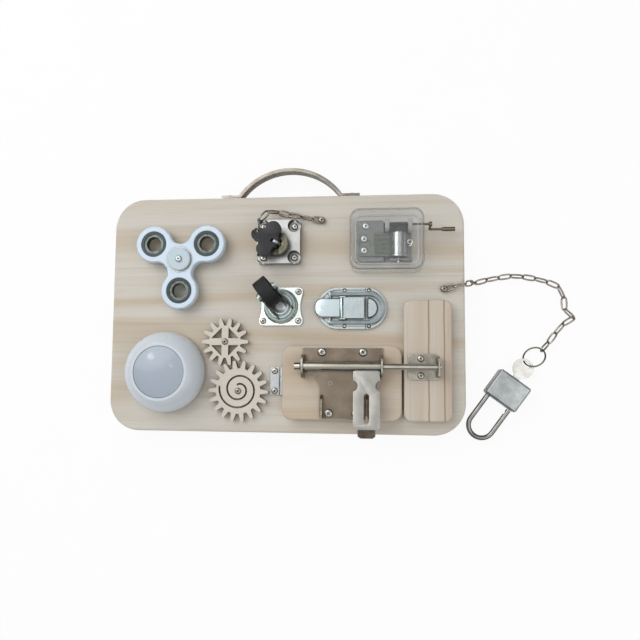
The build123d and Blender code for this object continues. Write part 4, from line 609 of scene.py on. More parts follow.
class Bench:
    """The modelling bench: bpy.ops used as by hand, each call on one object."""

    merge_reach = 0.0005 * MM
    smooth_angle = radians(35)

    @staticmethod
    def clear() -> None:
        """Leaves edit mode and deselects everything."""
        if bpy.context.object and bpy.context.object.mode != "OBJECT":
            bpy.ops.object.mode_set(mode="OBJECT")
        bpy.ops.object.select_all(action="DESELECT")

    @classmethod
    def hold(cls, piece: Piece) -> None:
        """Selects one object alone and makes it active.

        Args:
            piece: the object.
        """
        cls.clear()
        piece.select_set(True)
        bpy.context.view_layer.objects.active = piece

    @classmethod
    def open(cls, piece: Piece) -> None:
        """Opens a piece in edit mode with all of it selected.

        Args:
            piece: the object.
        """
        cls.hold(piece)
        bpy.ops.object.mode_set(mode="EDIT")
        bpy.ops.mesh.select_all(action="SELECT")

    @classmethod
    def pick(cls, piece: Piece, test: Callable[[object], bool], edges: bool = False) -> None:
        """Opens a piece in edit mode with only the faces or edges selected that pass a test.

        Args:
            piece: the object.
            test: says of a face or edge whether it is selected.
            edges: whether edges are tested, and not faces.
        """
        cls.open(piece)
        bpy.ops.mesh.select_mode(type="EDGE" if edges else "FACE")
        bpy.ops.mesh.select_all(action="DESELECT")
        mesh = bmesh.from_edit_mesh(piece.data)
        for part in mesh.edges if edges else mesh.faces:
            part.select_set(bool(test(part)))
        bmesh.update_edit_mesh(piece.data)

    @staticmethod
    def terrace(steps: Steps, across: float, deep: float) -> None:
        """Insets and lifts the selected faces by each step's shares of two lengths."""
        for inset, rise in steps:
            bpy.ops.mesh.inset(thickness=inset * across, depth=rise * deep)

    @classmethod
    def modify(cls, piece: Piece, kind: str, **settings: object) -> None:
        """Adds a modifier and applies it.

        Args:
            piece: the object.
            kind: the modifier's type.
            settings: the modifier's settings by name.
        """
        cls.hold(piece)
        modifier = piece.modifiers.new(kind.lower(), kind)
        configure(modifier, **settings)
        bpy.ops.object.modifier_apply(modifier=modifier.name)

    @classmethod
    def round_edges(cls, piece: Piece, width: float, segments: int, angle: float) -> None:
        """Rounds the edges that turn by more than an angle in degrees."""
        limit = {"limit_method": "ANGLE", "angle_limit": radians(angle)}
        cls.modify(piece, "BEVEL", width=width, segments=segments, **limit)

    @classmethod
    def combine(cls, piece: Piece, tool: Piece, kind: str) -> None:
        """Cuts a tool out of a piece or unites them, and removes the tool."""
        cls.modify(piece, "BOOLEAN", object=tool, operation=kind, solver="EXACT")
        bpy.data.objects.remove(tool, do_unlink=True)

    @staticmethod
    def place(name: str, data: bpy.types.ID) -> Piece:
        """Puts a new object with its data into the scene.

        Args:
            name: what it is called.
            data: its mesh, lamp or camera.

        Returns:
            The object.
        """
        piece = bpy.data.objects.new(name, data)
        bpy.context.scene.collection.objects.link(piece)
        return piece

    @classmethod
    def start(cls, add: Callable[..., object], **sizes: object) -> Piece:
        """Adds a primitive, selected alone.

        Args:
            add: the operator that adds it.
            sizes: the operator's own sizes by name.

        Returns:
            The primitive.
        """
        cls.clear()
        add(**sizes)
        return bpy.context.object

    @classmethod
    def block(cls, place: Point, size: Point, turn: float = 0) -> Piece:
        """Adds a block.

        Args:
            place: its centre.
            size: its length on each axis.
            turn: its turn about Z, in radians.

        Returns:
            The block.
        """
        add = bpy.ops.mesh.primitive_cube_add
        block = cls.start(add, size=1, location=place, rotation=(0, 0, turn))
        block.scale = size
        bpy.ops.object.transform_apply()
        return block

    @classmethod
    def merged(cls, node: str, name: str) -> Piece:
        """A copy of a CAD node with its loose triangles merged.

        Args:
            node: the CAD node.
            name: what the copy is called.

        Returns:
            The copy, which sits where the node is.
        """
        copy = cls.place(name, frame["nodes"][node].data.copy())
        cls.open(copy)
        bpy.ops.mesh.remove_doubles(threshold=cls.merge_reach)
        cls.clear()
        return copy

    @classmethod
    def islands(cls, node: str) -> list[tuple[Vector, Vector]]:
        """The boxes of a CAD node's separate solids.

        Args:
            node: the CAD node.

        Returns:
            The lowest and highest corner of each solid, in order of place.
        """
        cls.open(cls.merged(node, node + "_islands"))
        bpy.ops.mesh.separate(type="LOOSE")
        bpy.ops.object.mode_set(mode="OBJECT")
        boxes = []
        for piece in list(bpy.context.selected_objects):
            sides = list(zip(*(vertex.co for vertex in piece.data.vertices)))
            boxes.append(tuple(Vector([end(side) for side in sides]) for end in (min, max)))
            bpy.data.objects.remove(piece, do_unlink=True)
        return sorted(boxes, key=lambda box: tuple(round(value, 6) for value in box[0]))

    @classmethod
    def join(cls, pieces: Sequence[Piece], name: str) -> Piece:
        """Joins several objects into one.

        Args:
            pieces: the objects.
            name: what the result is called.

        Returns:
            The joined object, at the origin.
        """
        cls.clear()
        for piece in pieces:
            piece.select_set(True)
        bpy.context.view_layer.objects.active = pieces[0]
        if len(pieces) > 1:
            bpy.ops.object.join()
        bpy.ops.object.transform_apply()
        pieces[0].name = name
        return pieces[0]

    @classmethod
    def settle(cls, piece: Piece, body: str, finish: Finish, slot: Slot, *nodes: str) -> None:
        """Gives a finished piece its body and material, and hides the nodes that it stands for.

        Args:
            piece: the object.
            body: the body that it rides on.
            finish: the finish that it takes.
            slot: the record's slot that it belongs to; not used.
            nodes: the CAD nodes that it replaces.
        """
        cls.hold(piece)
        bpy.ops.object.transform_apply()
        bpy.ops.object.shade_smooth_by_angle(angle=cls.smooth_angle)
        wear(piece, finish)
        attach(piece, body)
        if nodes:
            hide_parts(*nodes)
        log.info("%s rides on %s", piece.name, body)


STEEL = Metal("steel", "#b2b4b4", 0.26, "#969694")
CHAIN_METAL = Metal("chain_nickel", "#b4ada2", 0.22, "#786e62", haze=0.6)
DULL_ZINC = Metal("dull_zinc", "#aaa69c", 0.3, "#787268", haze=0.7, reach=1.6 * MM)
SCREW_NICKEL = Metal("screw_nickel", "#c4c2ba", 0.2, "#969288", reach=1.6 * MM)
BRIGHT_ZINC = Metal("bright_zinc", "#e2e4e0", 0.2, "#ccceca", reach=1.6 * MM)
CAP_ZINC = Metal("cap_zinc", "#c6ced0", 0.4, "#b0b8bc", reach=1.6 * MM)
DECK_ZINC = Metal("deck_zinc", "#dcdeda", 0.26, "#b0b2ae", crevice=1.0, reach=2.4 * MM)
BLACK = Plastic("moulded_black", "#121316", 0.46, "#0c0d0f")


@dataclass(frozen=True)
class Remade:
    """A CAD node whose piece is made again, in the node's place."""

    node: str
    name: str
    slot: Slot
    finish: Finish

    def build(self) -> None:
        """Shapes a copy of the node and lets it stand for the node."""
        piece = Bench.merged(self.node, self.name)
        Bench.open(piece)
        self.shape(piece)
        Bench.settle(piece, body_of(self.node), self.finish, self.slot, self.node)

    def shape(self, piece: Piece) -> None:
        """Gives the open copy its shape, in the way that each kind says."""
        raise NotImplementedError


@dataclass(frozen=True)
class Rounded(Remade):
    """A piece whose edges are rounded."""

    width: float
    angle: float = 35
    segments: int = 3

    def shape(self, piece: Piece) -> None:
        """Merges the open piece's flat faces and rounds its edges."""
        bpy.ops.mesh.dissolve_limited(angle_limit=radians(2))
        Bench.round_edges(piece, self.width, self.segments, self.angle)


@dataclass(frozen=True)
class RoundWire(Remade):
    """Bent wire, such as chain links and rings, rounded from its CAD node's flats."""

    slot: Slot = Slot.CHAIN
    finish: Metal = CHAIN_METAL
    swell: float = 0.16 * MM

    def shape(self, piece: Piece) -> None:
        """Rounds the open wire and swells it to its real thickness.

        Args:
            piece: the wire.
        """
        bpy.ops.mesh.tris_convert_to_quads(face_threshold=radians(60), shape_threshold=radians(60))
        Bench.modify(piece, "SUBSURF", levels=1, render_levels=1)
        if self.swell:
            Bench.modify(piece, "DISPLACE", strength=self.swell, mid_level=0)


@dataclass
class SubAssembly:
    """A group of fittings that are dressed together: its finishes by CAD node, and its pieces."""

    finishes: dict[str, Finish] = field(default_factory=dict)
    pieces: Sequence[Remade] = ()

    def dress(self) -> None:
        """Gives each CAD node of the group its finish."""
        for node, finish in self.finishes.items():
            wear(frame["nodes"][node], finish)
            log.info("%s wears %s", node, finish.name)

    def build(self) -> None:
        """Makes the group's own pieces."""
        for piece in self.pieces:
            piece.build()


@dataclass
class CrossScrew:
    """A pan-headed screw with a cross recess, made once for each screw of a node."""

    rise: float
    slit_share: float
    recess_share: float = 0.58
    shank_share: float = 0.46
    wall_share: float = 0.45
    point_share: float = 0.15
    tip_share: float = 0.15
    taper_share: float = 0.45
    crown: Steps = ((0.08, 0.25), (0.12, 0.2), (0.22, 0.1))
    sides: int = 28
    lying_share: float = 1.2
    first_turn: float = 12
    next_turn: float = 37

    def head(self, radius: float, length: float) -> Piece:
        """Models the screw upright, with its head on the plane z = 0.

        Args:
            radius: the head's radius.
            length: the shank's length.

        Returns:
            The screw.
        """
        wall = self.wall_share * self.rise
        screw = Bench.start(
            bpy.ops.mesh.primitive_cylinder_add, vertices=self.sides, radius=radius, depth=wall,
            location=(0, 0, wall / 2),
        )
        bpy.ops.object.transform_apply()
        Bench.pick(screw, lambda f: f.normal.z > UPRIGHT)
        Bench.terrace(self.crown, radius, self.rise)
        Bench.pick(screw, lambda f: f.normal.z < -UPRIGHT)
        bpy.ops.mesh.inset(thickness=radius - self.shank_share * radius)
        for share in (1 - self.point_share, self.point_share):
            bpy.ops.mesh.extrude_region_move(TRANSFORM_OT_translate={"value": (0, 0, -share * length)})
        bpy.ops.transform.resize(value=(self.tip_share, self.tip_share, 1))
        Bench.combine(screw, self.cross(radius), "DIFFERENCE")
        return screw

    def cross(self, radius: float) -> Piece:
        """The tapered cross that is cut into the head.

        Args:
            radius: the head's radius.

        Returns:
            The cutter.
        """
        blades = []
        size = (2 * self.recess_share * radius, 2 * self.slit_share * radius, 1.5 * self.rise)
        for turn in (0, pi / 2):
            blade = Bench.block((0, 0, self.rise), size, turn)
            Bench.pick(blade, lambda f: f.normal.z < -UPRIGHT)
            bpy.ops.transform.resize(value=(self.taper_share, self.taper_share, 1))
            blades.append(blade)
        Bench.combine(*blades, "UNION")
        return blades[0]

    def fit(self, node: str, name: str, finish: Finish) -> None:
        """Replaces a node's plain screws by this one.

        Args:
            node: the CAD node that holds the screws.
            name: what the piece is called.
            finish: the screws' finish.
        """
        fitted = []
        for index, (low, high) in enumerate(Bench.islands(node)):
            size = high - low
            lying = size.y > size.x * self.lying_share
            way = 1 if lying else 2
            radius = size.x / 2
            screw = self.head(radius, size[way] - self.rise)
            tip = Matrix.Rotation(radians(-90 if lying else 0), 4, "X")
            spin = Matrix.Rotation(radians(self.next_turn * index + self.first_turn), 4, "Z")
            top = (low + high) / 2
            top[way] = high[way] - self.rise
            screw.matrix_world = Matrix.Translation(top) @ tip @ spin
            fitted.append(screw)
        Bench.settle(Bench.join(fitted, name), body_of(node), finish, Slot.NICKEL, node)


@dataclass
class Fasteners(SubAssembly):
    """The wood screws that hold the fittings: each set's node, name, rise, slit and finish."""

    sets: tuple[tuple[str, str, float, float, Metal], ...] = (
        ("small_screws", "cross_screws", 1.9 * MM, 0.17, SCREW_NICKEL),
        ("padbolt_screws", "bolt_screws", 2.2 * MM, 0.17, SCREW_NICKEL),
        ("music_screws", "deck_screws", 1.2 * MM, 0.17, DECK_ZINC),
        ("round_screws", "gear_screws", 2.1 * MM, 0.17, DULL_ZINC),
        ("spinner_screw", "cap_screw", 1.7 * MM, 0.12, CAP_ZINC),
    )

    def build(self) -> None:
        """Makes each set of screws with its cross recesses."""
        for node, name, rise, slit, finish in self.sets:
            CrossScrew(rise, slit).fit(node, name, finish)


@dataclass
class BoardAndHandle(SubAssembly):
    """The pine board and the bent metal handle on its upper edge."""

    handle_round: float = 1.1 * MM
    strap: Metal = Metal("handle_nickel", "#928c83", 0.26, "#625a50", Grain.ALONG_BOARD)

    def __post_init__(self) -> None:
        """Says which node wears which finish, and rounds the handle's strap."""
        wood = Pine("pine_board", "#d3cec4", "#c5b6a1", "#a28c75")
        self.finishes = {"board": wood, "handle": self.strap}
        rounded = Rounded("handle", "handle_strap", Slot.NICKEL, self.strap, self.handle_round, 28, 4)
        self.pieces = [rounded]


@dataclass
class Spinner(SubAssembly):
    """The three-lobed spinner with its ring weights, bearing and caps."""

    recess: float = 0.3 * MM

    def __post_init__(self) -> None:
        """Says which node wears which finish, with the weights dark below their faces."""
        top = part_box("spinner_weights")[1][2] - self.recess
        sunk = Zone(Side.BELOW_Z, top, "#646a68", "#4c5250", pitch=400)
        slate = Metal("black_oxide", "#3a4041", 0.34, "#2e3434", crevice=0.6, marks=(sunk,))
        self.finishes = {
            "spinner_body": Plastic("spinner_white", "#cddeec", 0.28, "#c6d7e7", 0.1, 1 * MM, coat=0.3),
            "spinner_caps": Plastic("cap_white", "#bacad2", 0.32, "#beced6", 0.1, 0.8 * MM, coat=0.12),
            "spinner_weights": slate, "spinner_inner_race": STEEL, "spinner_outer_race": STEEL,
        }


@dataclass
class PushLight(SubAssembly):
    """The round push light: a domed housing, a frosted lens, and its board of lamps."""

    shell: Plastic = Plastic("lamp_white", "#d0d8de", 0.3, "#ccd2da", 0.08, 0.6 * MM, coat=0.25)

    def __post_init__(self) -> None:
        """Says which node wears which finish."""
        self.finishes = {
            "light_housing": self.shell, "light_base": self.shell,
            "light_lens": Plastic("frosted_lens", "#a6b1be", 0.34, "#aab0be", 0.15, coat=0.4),
            "light_circuit": Plastic("circuit_green", "#1e5c34", 0.4, "#18462c"),
        }


@dataclass
class WoodenGears(SubAssembly):
    """The two meshing gears of laser-cut plywood on their washers."""

    def __post_init__(self) -> None:
        """Says which node wears which finish."""
        ply = BurntPly("birch_ply", face="#d6d0c4", burnt="#3a2e22")
        self.finishes = {node: ply for node in ("gear_large", "gear_small", "gear_washers")}


@dataclass
class CabinetLock(SubAssembly):
    """The cabinet lock with its barrel, plug, sliding bolt and folding key."""

    case_top: float = 26.2 * MM
    bow_round: float = 0.7 * MM
    key_metal: Metal = Metal("key_steel", "#969a9c", 0.24, "#6e7274")

    def __post_init__(self) -> None:
        """Says which node wears which finish, with the barrel darker than the case."""
        tones = ("#747060", "#38362c")
        barrel = Zone(Side.ABOVE_Z, self.case_top, *tones, Grain.ACROSS_BOARD, 340)
        # The case's painted shade is strong and wide, darkening its screw pockets.
        case = Metal(
            "lock_nickel", "#b2b3b0", 0.34, "#92938f", crevice=1.0, reach=5 * MM, corner_shade="#242420",
            marks=(barrel,),
        )
        self.finishes = {
            "lock_case": case,
            "lock_plug": Metal("plug_chrome", "#706d5f", 0.22, "#3e3c30", Grain.ACROSS_BOARD),
            "lock_key": self.key_metal, "lock_bolt": self.key_metal, "key_bow": BLACK, "key_pin": STEEL,
        }
        self.pieces = [Rounded("key_bow", "key_bow_moulding", Slot.RUBBER, BLACK, self.bow_round, 40)]


@dataclass
class Chains(SubAssembly):
    """The two twisted-link chains, the key's own link and the padlock's split ring."""

    ring_metal: Metal = Metal("ring_steel", "#807e78", 0.2, "#54504a")

    def __post_init__(self) -> None:
        """Says which wires are made again as round ones."""
        links = [RoundWire(node, node + "_wire") for node in ("key_chain", "padlock_chain", "key_link")]
        ring = RoundWire("split_ring", "split_ring_wire", Slot.NICKEL, self.ring_metal, swell=0)
        self.pieces = [*links, ring]


@dataclass
class Castor(SubAssembly):
    """The swivel castor: its plate, ringed crown, fork, rivet and hard rubber wheel."""

    sides: int = 56
    width: float = 11.6 * MM
    tread_round: float = 1.6 * MM
    hub_depth: float = 1.4 * MM
    hub_steps: Steps = ((0.2, 0), (0.06, -1), (0.28, 0), (0.04, 0.8))
    ring_reach: float = 15 * MM
    # Bright and dark rings on the crown: painted highlights and painted shade that stand for the light on
    # its concentric ridges.
    crown_light_and_shade: Stops = (
        (0.0, "#d8e0de"), (0.44, "#ced6d4"), (0.5, "#5c6866"), (0.58, "#808e8c"), (0.64, "#c4ccca"),
        (0.7, "#687674"), (0.82, "#849290"), (0.88, "#546262"), (0.97, "#96a2a0"),
    )
    rubber: Plastic = Plastic("hard_rubber", "#080a0b", 0.62, "#101111")

    def __post_init__(self) -> None:
        """Says which node wears which finish, with rings of painted highlight and painted shade round the
        swivel.
        """
        centre, _ = joint_of("castor_swivel")
        rings = Rings((centre.x, centre.y, 0), self.ring_reach, self.crown_light_and_shade)
        crown = Metal(
            "crown_zinc", "#a0aaa8", 0.26, "#7e8886", crevice=0.3, reach=1.6 * MM, marks=(rings,)
        )
        self.finishes = {
            "castor_plate": Metal(
                "bright_plate", "#dee4e0", 0.22, "#c4ccc8", crevice=0.7, reach=2.5 * MM
            ),
            "castor_fork": crown,
            "castor_rivet": Metal("rivet_zinc", "#e8eeec", 0.4, "#d6dedc", crevice=0.05),
            "castor_axle": STEEL, "castor_wheel": self.rubber,
        }

    def build(self) -> None:
        """Models the wheel: a tread with round shoulders and a sunk hub on each side."""
        low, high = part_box("castor_wheel")
        centre, axis = joint_of("castor_roll")
        radius = (high[2] - low[2]) / 2
        add = bpy.ops.mesh.primitive_cylinder_add
        wheel = Bench.start(add, vertices=self.sides, radius=radius, depth=self.width)
        for side in (-1, 1):
            Bench.pick(wheel, lambda f: f.normal.z * side > UPRIGHT and f.calc_area() > radius**2)
            Bench.terrace(self.hub_steps, radius, self.hub_depth)
        Bench.round_edges(wheel, self.tread_round, 4, 60)
        wheel.matrix_world = Matrix.Translation(centre) @ axis.to_track_quat("Z", "Y").to_matrix().to_4x4()
        wheel.name = "castor_tyre"
        Bench.settle(wheel, body_of("castor_wheel"), self.rubber, Slot.RUBBER, "castor_wheel")


@dataclass
class ToggleLatch(SubAssembly):
    """The case latch: a pressed base and catch, a lever and the loop that it draws."""

    lever_round: float = 0.9 * MM
    loop_round: float = 0.5 * MM
    # The pressing takes painted highlights along its rims and strong painted shade in its gaps.
    pressing: Metal = Metal(
        "latch_pressing", "#bec7c8", 0.24, "#a6b0b2", crevice=1.0, reach=3.2 * MM, edge_highlight=0.7,
        corner_shade="#141a1e",
    )
    lever_metal: Metal = Metal("lever_chrome", "#cedbdd", 0.2, "#c0cfd4", crevice=0.7, reach=2 * MM)
    # The loop takes strong, dark painted shade in its gaps.
    loop_metal: Metal = Metal(
        "loop_chrome", "#9ea4a5", 0.2, "#747a7c", crevice=1.0, reach=4 * MM, corner_shade="#14181a"
    )

    def __post_init__(self) -> None:
        """Says which node wears which finish, and rounds the lever and the loop."""
        self.finishes = {
            "latch_base": self.pressing, "latch_catch": self.pressing, "latch_lever": self.lever_metal,
            "latch_loop": self.loop_metal, "latch_pin": STEEL, "latch_nails": SCREW_NICKEL,
        }
        self.pieces = [
            Rounded("latch_lever", "lever_plate", Slot.NICKEL, self.lever_metal, self.lever_round),
            Rounded("latch_loop", "loop_strip", Slot.SATIN, self.loop_metal, self.loop_round),
        ]


@dataclass
class MusicBox(SubAssembly):
    """The musical movement under its clear case: comb, pinned drum, gear and crank."""

    pins_per_row: int = 13
    rows: int = 18
    pin_radius: float = 0.22 * MM
    pin_height: float = 0.4 * MM
    tip_share: float = 0.6
    jitter: float = 0.4
    drum_radius: float = 6.0 * MM
    margin: float = 0.9 * MM
    seed: int = 7
    bearing_half: float = 1.7 * MM
    bearing_length: float = 8.4 * MM
    bearing_gap: float = 1.4 * MM
    bearing_rise: float = 2.2 * MM
    bearing_shift: float = 0.6 * MM
    bearing_offset: float = 2.6 * MM
    bearing_rim: float = 0.5 * MM
    bearing_dish: float = 0.9 * MM
    bearing_round: float = 0.7 * MM
    hook_ring: float = 1.7 * MM
    hook_wire: float = 0.45 * MM
    hook_gap: float = 2.4 * MM
    hook_shift: float = 0.6 * MM
    hook_drop: float = 1.5 * MM
    arm_shift: float = 0.4 * MM
    arm_bend: float = 4.0 * MM
    arm_sweep: float = 75
    post_gap: float = 1.0 * MM
    ridge_inset: float = 4.6 * MM
    ridge_width: float = 0.55 * MM
    ridge_depth: float = 2.5 * MM
    ridge_height: float = 0.8 * MM
    ridge_round: float = 4.5 * MM
    ridge_clear: ClearPlastic = ClearPlastic("clear_ridge", (0.9, 0.91, 0.92), "#d2d4d6", 0.3, 0.4)
    nylon: Plastic = Plastic("nylon", "#ced0ce", 0.4, "#bec2c0", glow=0.1)

    def __post_init__(self) -> None:
        """Says which node wears which finish, with a blackened worm on the crank's shaft."""
        _, gear_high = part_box("music_gear")
        worm = Zone(Side.BELOW_X, gear_high[0] + MM, "#2c2e2e", "#1e2020")
        crank = Metal("crank_brown", "#8e8270", 0.28, "#605444", marks=(worm,))
        self.finishes = {
            "music_case": ClearPlastic("clear_case", (0.94, 0.95, 0.96), "#ced0d2"),
            "music_frame": Metal("frame_zinc", "#767872", 0.36, "#60625d", crevice=1.0, edge_highlight=0.4),
            "music_comb": Metal(
                "comb_steel", "#6e7266", 0.42, "#5e6258", Grain.ALONG_BOARD, edge=0.15 * MM
            ),
            "music_drum": Metal("drum_chrome", "#c6c8c4", 0.2, "#969894", Grain.ACROSS_BOARD),
            "music_gear": Plastic("gear_black", "#181c1e", 0.5, "#121416"), "music_crank": crank,
            "music_grip": Metal("grip_brown", "#8e8270", 0.26, "#605444"),
        }

    def build(self) -> None:
        """Makes the case's ridge, the drum's pins, the shaft's bearings and the stop wire."""
        for make in (self.ridge, self.pins, self.bearings, self.stop_wire):
            make()

    def ridge(self) -> None:
        """Runs the moulded ridge round the inside of the case's top."""
        low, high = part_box("music_case")
        length, width = (high[way] - low[way] for way in (0, 1))
        place = ((low[0] + high[0]) / 2, (low[1] + high[1]) / 2, high[2] - self.ridge_depth)
        walls = []
        for inset, share in ((self.ridge_inset, 1), (self.ridge_inset + self.ridge_width, 3)):
            deep = share * self.ridge_height
            wall = Bench.block(place, (length - 2 * inset, width - 2 * inset, deep))
            Bench.pick(wall, lambda e: abs(e.verts[0].co.z - e.verts[1].co.z) > deep / 2, True)
            bpy.ops.mesh.bevel(offset=self.ridge_round, segments=8)
            walls.append(wall)
        Bench.combine(*walls, "DIFFERENCE")
        walls[0].name = "case_ridge"
        Bench.settle(walls[0], "panel", self.ridge_clear, Slot.CLEAR)

    def pins(self) -> None:
        """Makes the pins and sets them on the drum."""
        low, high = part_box("music_drum")
        comb_low, comb_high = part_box("music_comb")
        centre = (Vector(low) + Vector(high)) / 2
        start = comb_low[1] + self.margin
        end = comb_high[1] - self.margin
        draw = random.Random(self.seed)
        tip = self.tip_share * self.pin_radius
        first = Bench.start(
            bpy.ops.mesh.primitive_cone_add, vertices=6, radius1=self.pin_radius, radius2=tip,
            depth=2 * self.pin_height,
        )
        copies = []
        for row in range(self.rows):
            y = start + (end - start) * row / (self.rows - 1)
            for step in range(self.pins_per_row):
                angle = 2 * pi * (step + draw.uniform(-self.jitter, self.jitter)) / self.pins_per_row
                way = Vector((sin(angle), 0, cos(angle)))
                spot = Vector((centre.x, y, centre.z)) + way * self.drum_radius
                pin = Bench.place("pin", first.data.copy())
                pin.matrix_world = Matrix.Translation(spot) @ Matrix.Rotation(angle, 4, "Y")
                copies.append(pin)
        bpy.data.objects.remove(first, do_unlink=True)
        Bench.settle(Bench.join(copies, "drum_pins"), "drum", STEEL, Slot.STEEL)

    def bearings(self) -> None:
        """Stands a nylon bearing on each side of the gear, round the crank's shaft."""
        gear_low, gear_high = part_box("music_gear")
        frame_low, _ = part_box("music_frame")
        shaft, _ = joint_of("crank_turn")
        foot = frame_low[2] + self.bearing_gap
        height = shaft.z + self.bearing_rise - foot
        size = (2 * self.bearing_half, self.bearing_length, height)
        pair = []
        for x in (gear_low[0] - self.bearing_offset, gear_high[0] + self.bearing_offset):
            block = Bench.block((x, shaft.y + self.bearing_shift, foot + height / 2), size)
            Bench.pick(block, lambda f: f.normal.z > UPRIGHT)
            bpy.ops.mesh.inset(thickness=self.bearing_rim, depth=self.bearing_dish)
            Bench.round_edges(block, self.bearing_round, 3, 30)
            pair.append(block)
        Bench.settle(Bench.join(pair, "shaft_bearings"), "panel", self.nylon, Slot.WHITE)

    def stop_wire(self) -> None:
        """Bends the small wire that stands beside the drum: a ring with a curved arm."""
        _, gear_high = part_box("music_gear")
        low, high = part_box("music_drum")
        height = high[2] - self.hook_drop
        spot = Vector((gear_high[0] + self.hook_gap, (low[1] + high[1]) / 2 + self.hook_shift, height))
        ring = Bench.start(
            bpy.ops.mesh.primitive_torus_add, major_radius=self.hook_ring,
            minor_radius=self.hook_wire, major_segments=28, minor_segments=10, location=spot,
        )
        start = spot + Vector((self.hook_ring + self.hook_wire, self.arm_shift, 0))
        arm = Bench.start(
            bpy.ops.mesh.primitive_circle_add, vertices=10, radius=self.hook_wire,
            fill_type="NGON", location=start, rotation=(pi / 2, 0, 0),
        )
        Bench.open(arm)
        middle = (start.x - self.arm_bend, start.y, start.z)
        bpy.ops.mesh.spin(steps=10, angle=radians(self.arm_sweep), center=middle, axis=(0, 0, 1))
        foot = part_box("music_frame")[0][2] + self.post_gap
        tall = height - foot
        post = Bench.start(
            bpy.ops.mesh.primitive_cylinder_add, vertices=12, radius=self.hook_wire, depth=tall,
            location=(spot.x, spot.y + self.hook_ring, foot + tall / 2),
        )
        Bench.settle(Bench.join([ring, arm, post], "stop_wire"), "panel", BRIGHT_ZINC, Slot.STEEL)


@dataclass
class BoltedDoor(SubAssembly):
    """The small door, its hinge, the block beside it, and the padbolt with its hasp."""

    barrel_rise: float = 1.9 * MM
    lip_length: float = 7.2 * MM
    spare_hole: Point = (40.4 * MM, -58.2 * MM, 0)
    spare_reach: float = 2.2 * MM
    # A spare screw hole drawn in colour: a painted highlight ring and a painted shade ring round it.
    spare_hole_light_and_shade: Stops = (
        (0.0, "#807466"), (0.45, "#7a6e60"), (0.62, "#b8aea0"), (0.8, "#605448"), (1.0, "#948a7c")
    )
    hasp_round: float = 0.5 * MM
    seams: tuple[float, ...] = (119.6 * MM, 132.0 * MM, 146.2 * MM)

    def __post_init__(self) -> None:
        """Says which node wears which finish, with the barrel and the lip apart."""
        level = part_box("padbolt_plate")[0][2] + self.barrel_rise
        tones = ("#bab6aa", "#9c9486")
        barrel = Zone(Side.ABOVE_Z, level, *tones, Grain.ALONG_BOARD, 500)
        taupe = Metal(
            "stained_nickel", "#8a7f71", 0.28, "#685a4c", haze=0.8, cloud=48, edge_highlight=0.5, crevice=0.9,
            reach=5 * MM, marks=(Rings(self.spare_hole, self.spare_reach, self.spare_hole_light_and_shade), barrel),
        )
        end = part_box("padbolt_hasp")[0][1] + self.lip_length
        satin = Metal(
            "satin_hasp", "#a8a6a0", 0.36, "#98948c", Grain.ACROSS_BOARD, reach=2 * MM, edge_highlight=0.8,
            marks=(Zone(Side.BELOW_Y, end, "#887c6e", "#706458"),),
        )
        door = Pine("pine_door", "#cec2b0", "#c4b098", "#a68a6e", shift=(0.3, 0.21, 0.1))
        block = Pine(
            "pine_block", "#d0c6b8", "#c4b4a2", "#a68c74", Grain.ACROSS_BOARD, (0.13, 0.4, 0.2),
            self.seams,
        )
        self.finishes = {
            "door_panel": door, "strike_block": block, "padbolt_plate": taupe,
            "padbolt_staples": Metal("staple_nickel", "#b0a89a", 0.2, "#7c7264"),
            "padbolt_rod": Metal("rod_nickel", "#c8c4b8", 0.15, "#a8a092", Grain.ALONG_BOARD),
            "padbolt_keeper": Metal(
                "keeper_nickel", "#b0aa9e", 0.22, "#7c7468", haze=0.8, crevice=1.0, reach=4 * MM,
                edge_highlight=0.7
            ),
            "padbolt_hasp": satin,
            "hinge_leaves": Metal("hinge_zinc", "#bec2c2", 0.28, "#969896", reach=2.5 * MM),
            "hinge_pin": STEEL,
        }
        self.pieces = [Rounded("padbolt_hasp", "hasp_plate", Slot.SATIN, satin, self.hasp_round)]


@dataclass
class Padlock(SubAssembly):
    """The small padlock with its shackle, its plug and the key that stays in it."""

    case_round: float = 0.8 * MM
    case_metal: Metal = Metal("case_zinc", "#b4b7b7", 0.32, "#949898", haze=0.8, crevice=0.6)

    def __post_init__(self) -> None:
        """Says which node wears which finish, and rounds the case's edges."""
        self.finishes = {
            "padlock_case": self.case_metal,
            "padlock_shackle": Metal("shackle_chrome", "#969490", 0.12, "#62605c"),
            "padlock_cylinder": Metal("turned_brass", "#a8966a", 0.3, "#826e48"),
            "padlock_key": Metal("aged_key", "#e8e7e2", 0.3, "#c4c0b4", haze=0.7, crevice=0.6),
        }
        case = Rounded("padlock_case", "padlock_body", Slot.NICKEL, self.case_metal, self.case_round)
        self.pieces = [case]


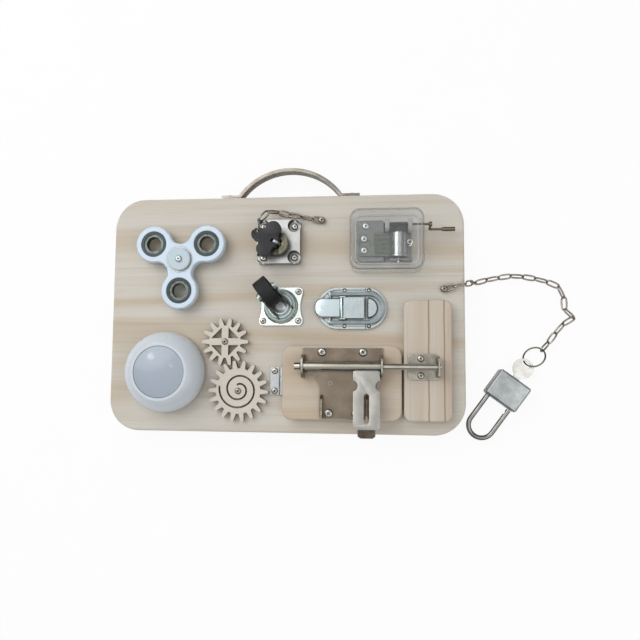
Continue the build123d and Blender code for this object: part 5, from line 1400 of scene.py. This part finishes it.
@dataclass
class Studio:
    """The pale table, the soft lamps, the sky that metal reflects, and the camera."""

    eye: Point = (80.98 * MM, -44.72 * MM, 515.86 * MM)
    aim: Point = (radians(4.475), radians(5.726), radians(0.422))
    lens: float = 33.75
    sensor: float = 36.0
    near: float = 0.01
    table_size: float = 6.0
    table_drop: float = 0.05 * MM
    table_glow: float = 0.92
    table_pitch: float = 30.0
    table_stops: Stops = ((0.3, (0.9, 0.9, 0.9)), (0.7, (0.94, 0.94, 0.94)))
    sky_light: float = 0.48
    sky_stops: Stops = (
        (0.0, (0.62, 0.6, 0.57)), (0.46, (0.4, 0.38, 0.35)), (0.56, (0.06, 0.06, 0.07)),
        (0.76, (0.1, 0.11, 0.12)), (0.88, (0.5, 0.52, 0.54)), (0.95, (0.95, 0.96, 0.97)),
    )
    lamps: tuple[tuple[str, Point, float, float], ...] = (
        ("window", (-0.75, 0.65, 1.1), 1.5, 11.4), ("bounce", (0.9, -0.4, 1.0), 1.2, 3.0),
        ("pane", (-0.76, 0.29, 1.2), 0.17, 0.7), ("spot", (-0.23, 0.07, 1.2), 0.06, 0.08),
    )

    def camera(self) -> None:
        """Stands the camera where the photograph was taken from."""
        data = bpy.data.cameras.new("photo_view")
        configure(data, lens=self.lens, sensor_width=self.sensor, clip_start=self.near)
        eye = Bench.place("photo_view", data)
        configure(eye, location=self.eye, rotation_euler=self.aim)
        bpy.context.scene.camera = eye

    def table(self) -> None:
        """Lays the pale table that the board lies on."""
        top = Bench.start(
            bpy.ops.mesh.primitive_grid_add, x_subdivisions=4, y_subdivisions=4, size=self.table_size,
            location=(0, 0, -self.table_drop),
        )
        top.name = "table_top"
        g = Surface("table_white")
        white = g.ramp(g.noise(g.place, self.table_pitch, 2), self.table_stops)
        g.finish(Base_Color=white, Roughness=0.9)
        seen = g.sum("MULTIPLY", g.add("LightPath").outputs["Is Camera Ray"], self.table_glow)
        glow = g.add("Emission").outputs["Emission"]
        g.feed(g.blend(seen, g.shader.outputs["BSDF"], glow), g.output.inputs["Surface"])
        top.data.materials.append(g.material)

    def light(self) -> None:
        """Hangs the lamps."""
        for name, place, size, power in self.lamps:
            data = bpy.data.lights.new(name, "AREA")
            configure(data, shape="DISK", size=size, energy=power)
            turn = (-Vector(place)).to_track_quat("-Z", "Y").to_euler()
            configure(Bench.place(name, data), location=place, rotation_euler=turn)

    def sky(self) -> None:
        """Makes the sky: white to the camera, even to matt things, a room's light and dark to metal."""
        world = bpy.data.worlds.new("room")
        bpy.context.scene.world = world
        g = Graph(world)
        path = g.add("LightPath").outputs
        even = g.spread(path["Is Camera Ray"], 0, 1, self.sky_light, 1)
        height = g.axes(g.add("TexCoord").outputs["Generated"])["Z"]
        colour = g.ramp(g.spread(height, -1, 1, 0, 1), self.sky_stops)
        plain = g.add("Background", {"Color": (1, 1, 1), "Strength": even}).outputs[0]
        room = g.add("Background", {"Color": colour}).outputs[0]
        g.add("OutputWorld", {"Surface": g.blend(path["Is Glossy Ray"], plain, room)})

    def build(self) -> None:
        """Sets up the whole studio."""
        for make in (self.camera, self.table, self.light, self.sky):
            make()
        bpy.context.scene.view_settings.view_transform = "Standard"


def main() -> None:
    """Builds the studio, then dresses and completes each sub-assembly in order."""
    logging.basicConfig(level=logging.INFO)
    Studio().build()
    for kind in (
        BoardAndHandle, Spinner, PushLight, WoodenGears, CabinetLock, Castor, ToggleLatch, MusicBox,
        BoltedDoor, Padlock, Chains, Fasteners,
    ):
        group = kind()
        group.dress()
        group.build()


if __name__ == "__main__":
    main()
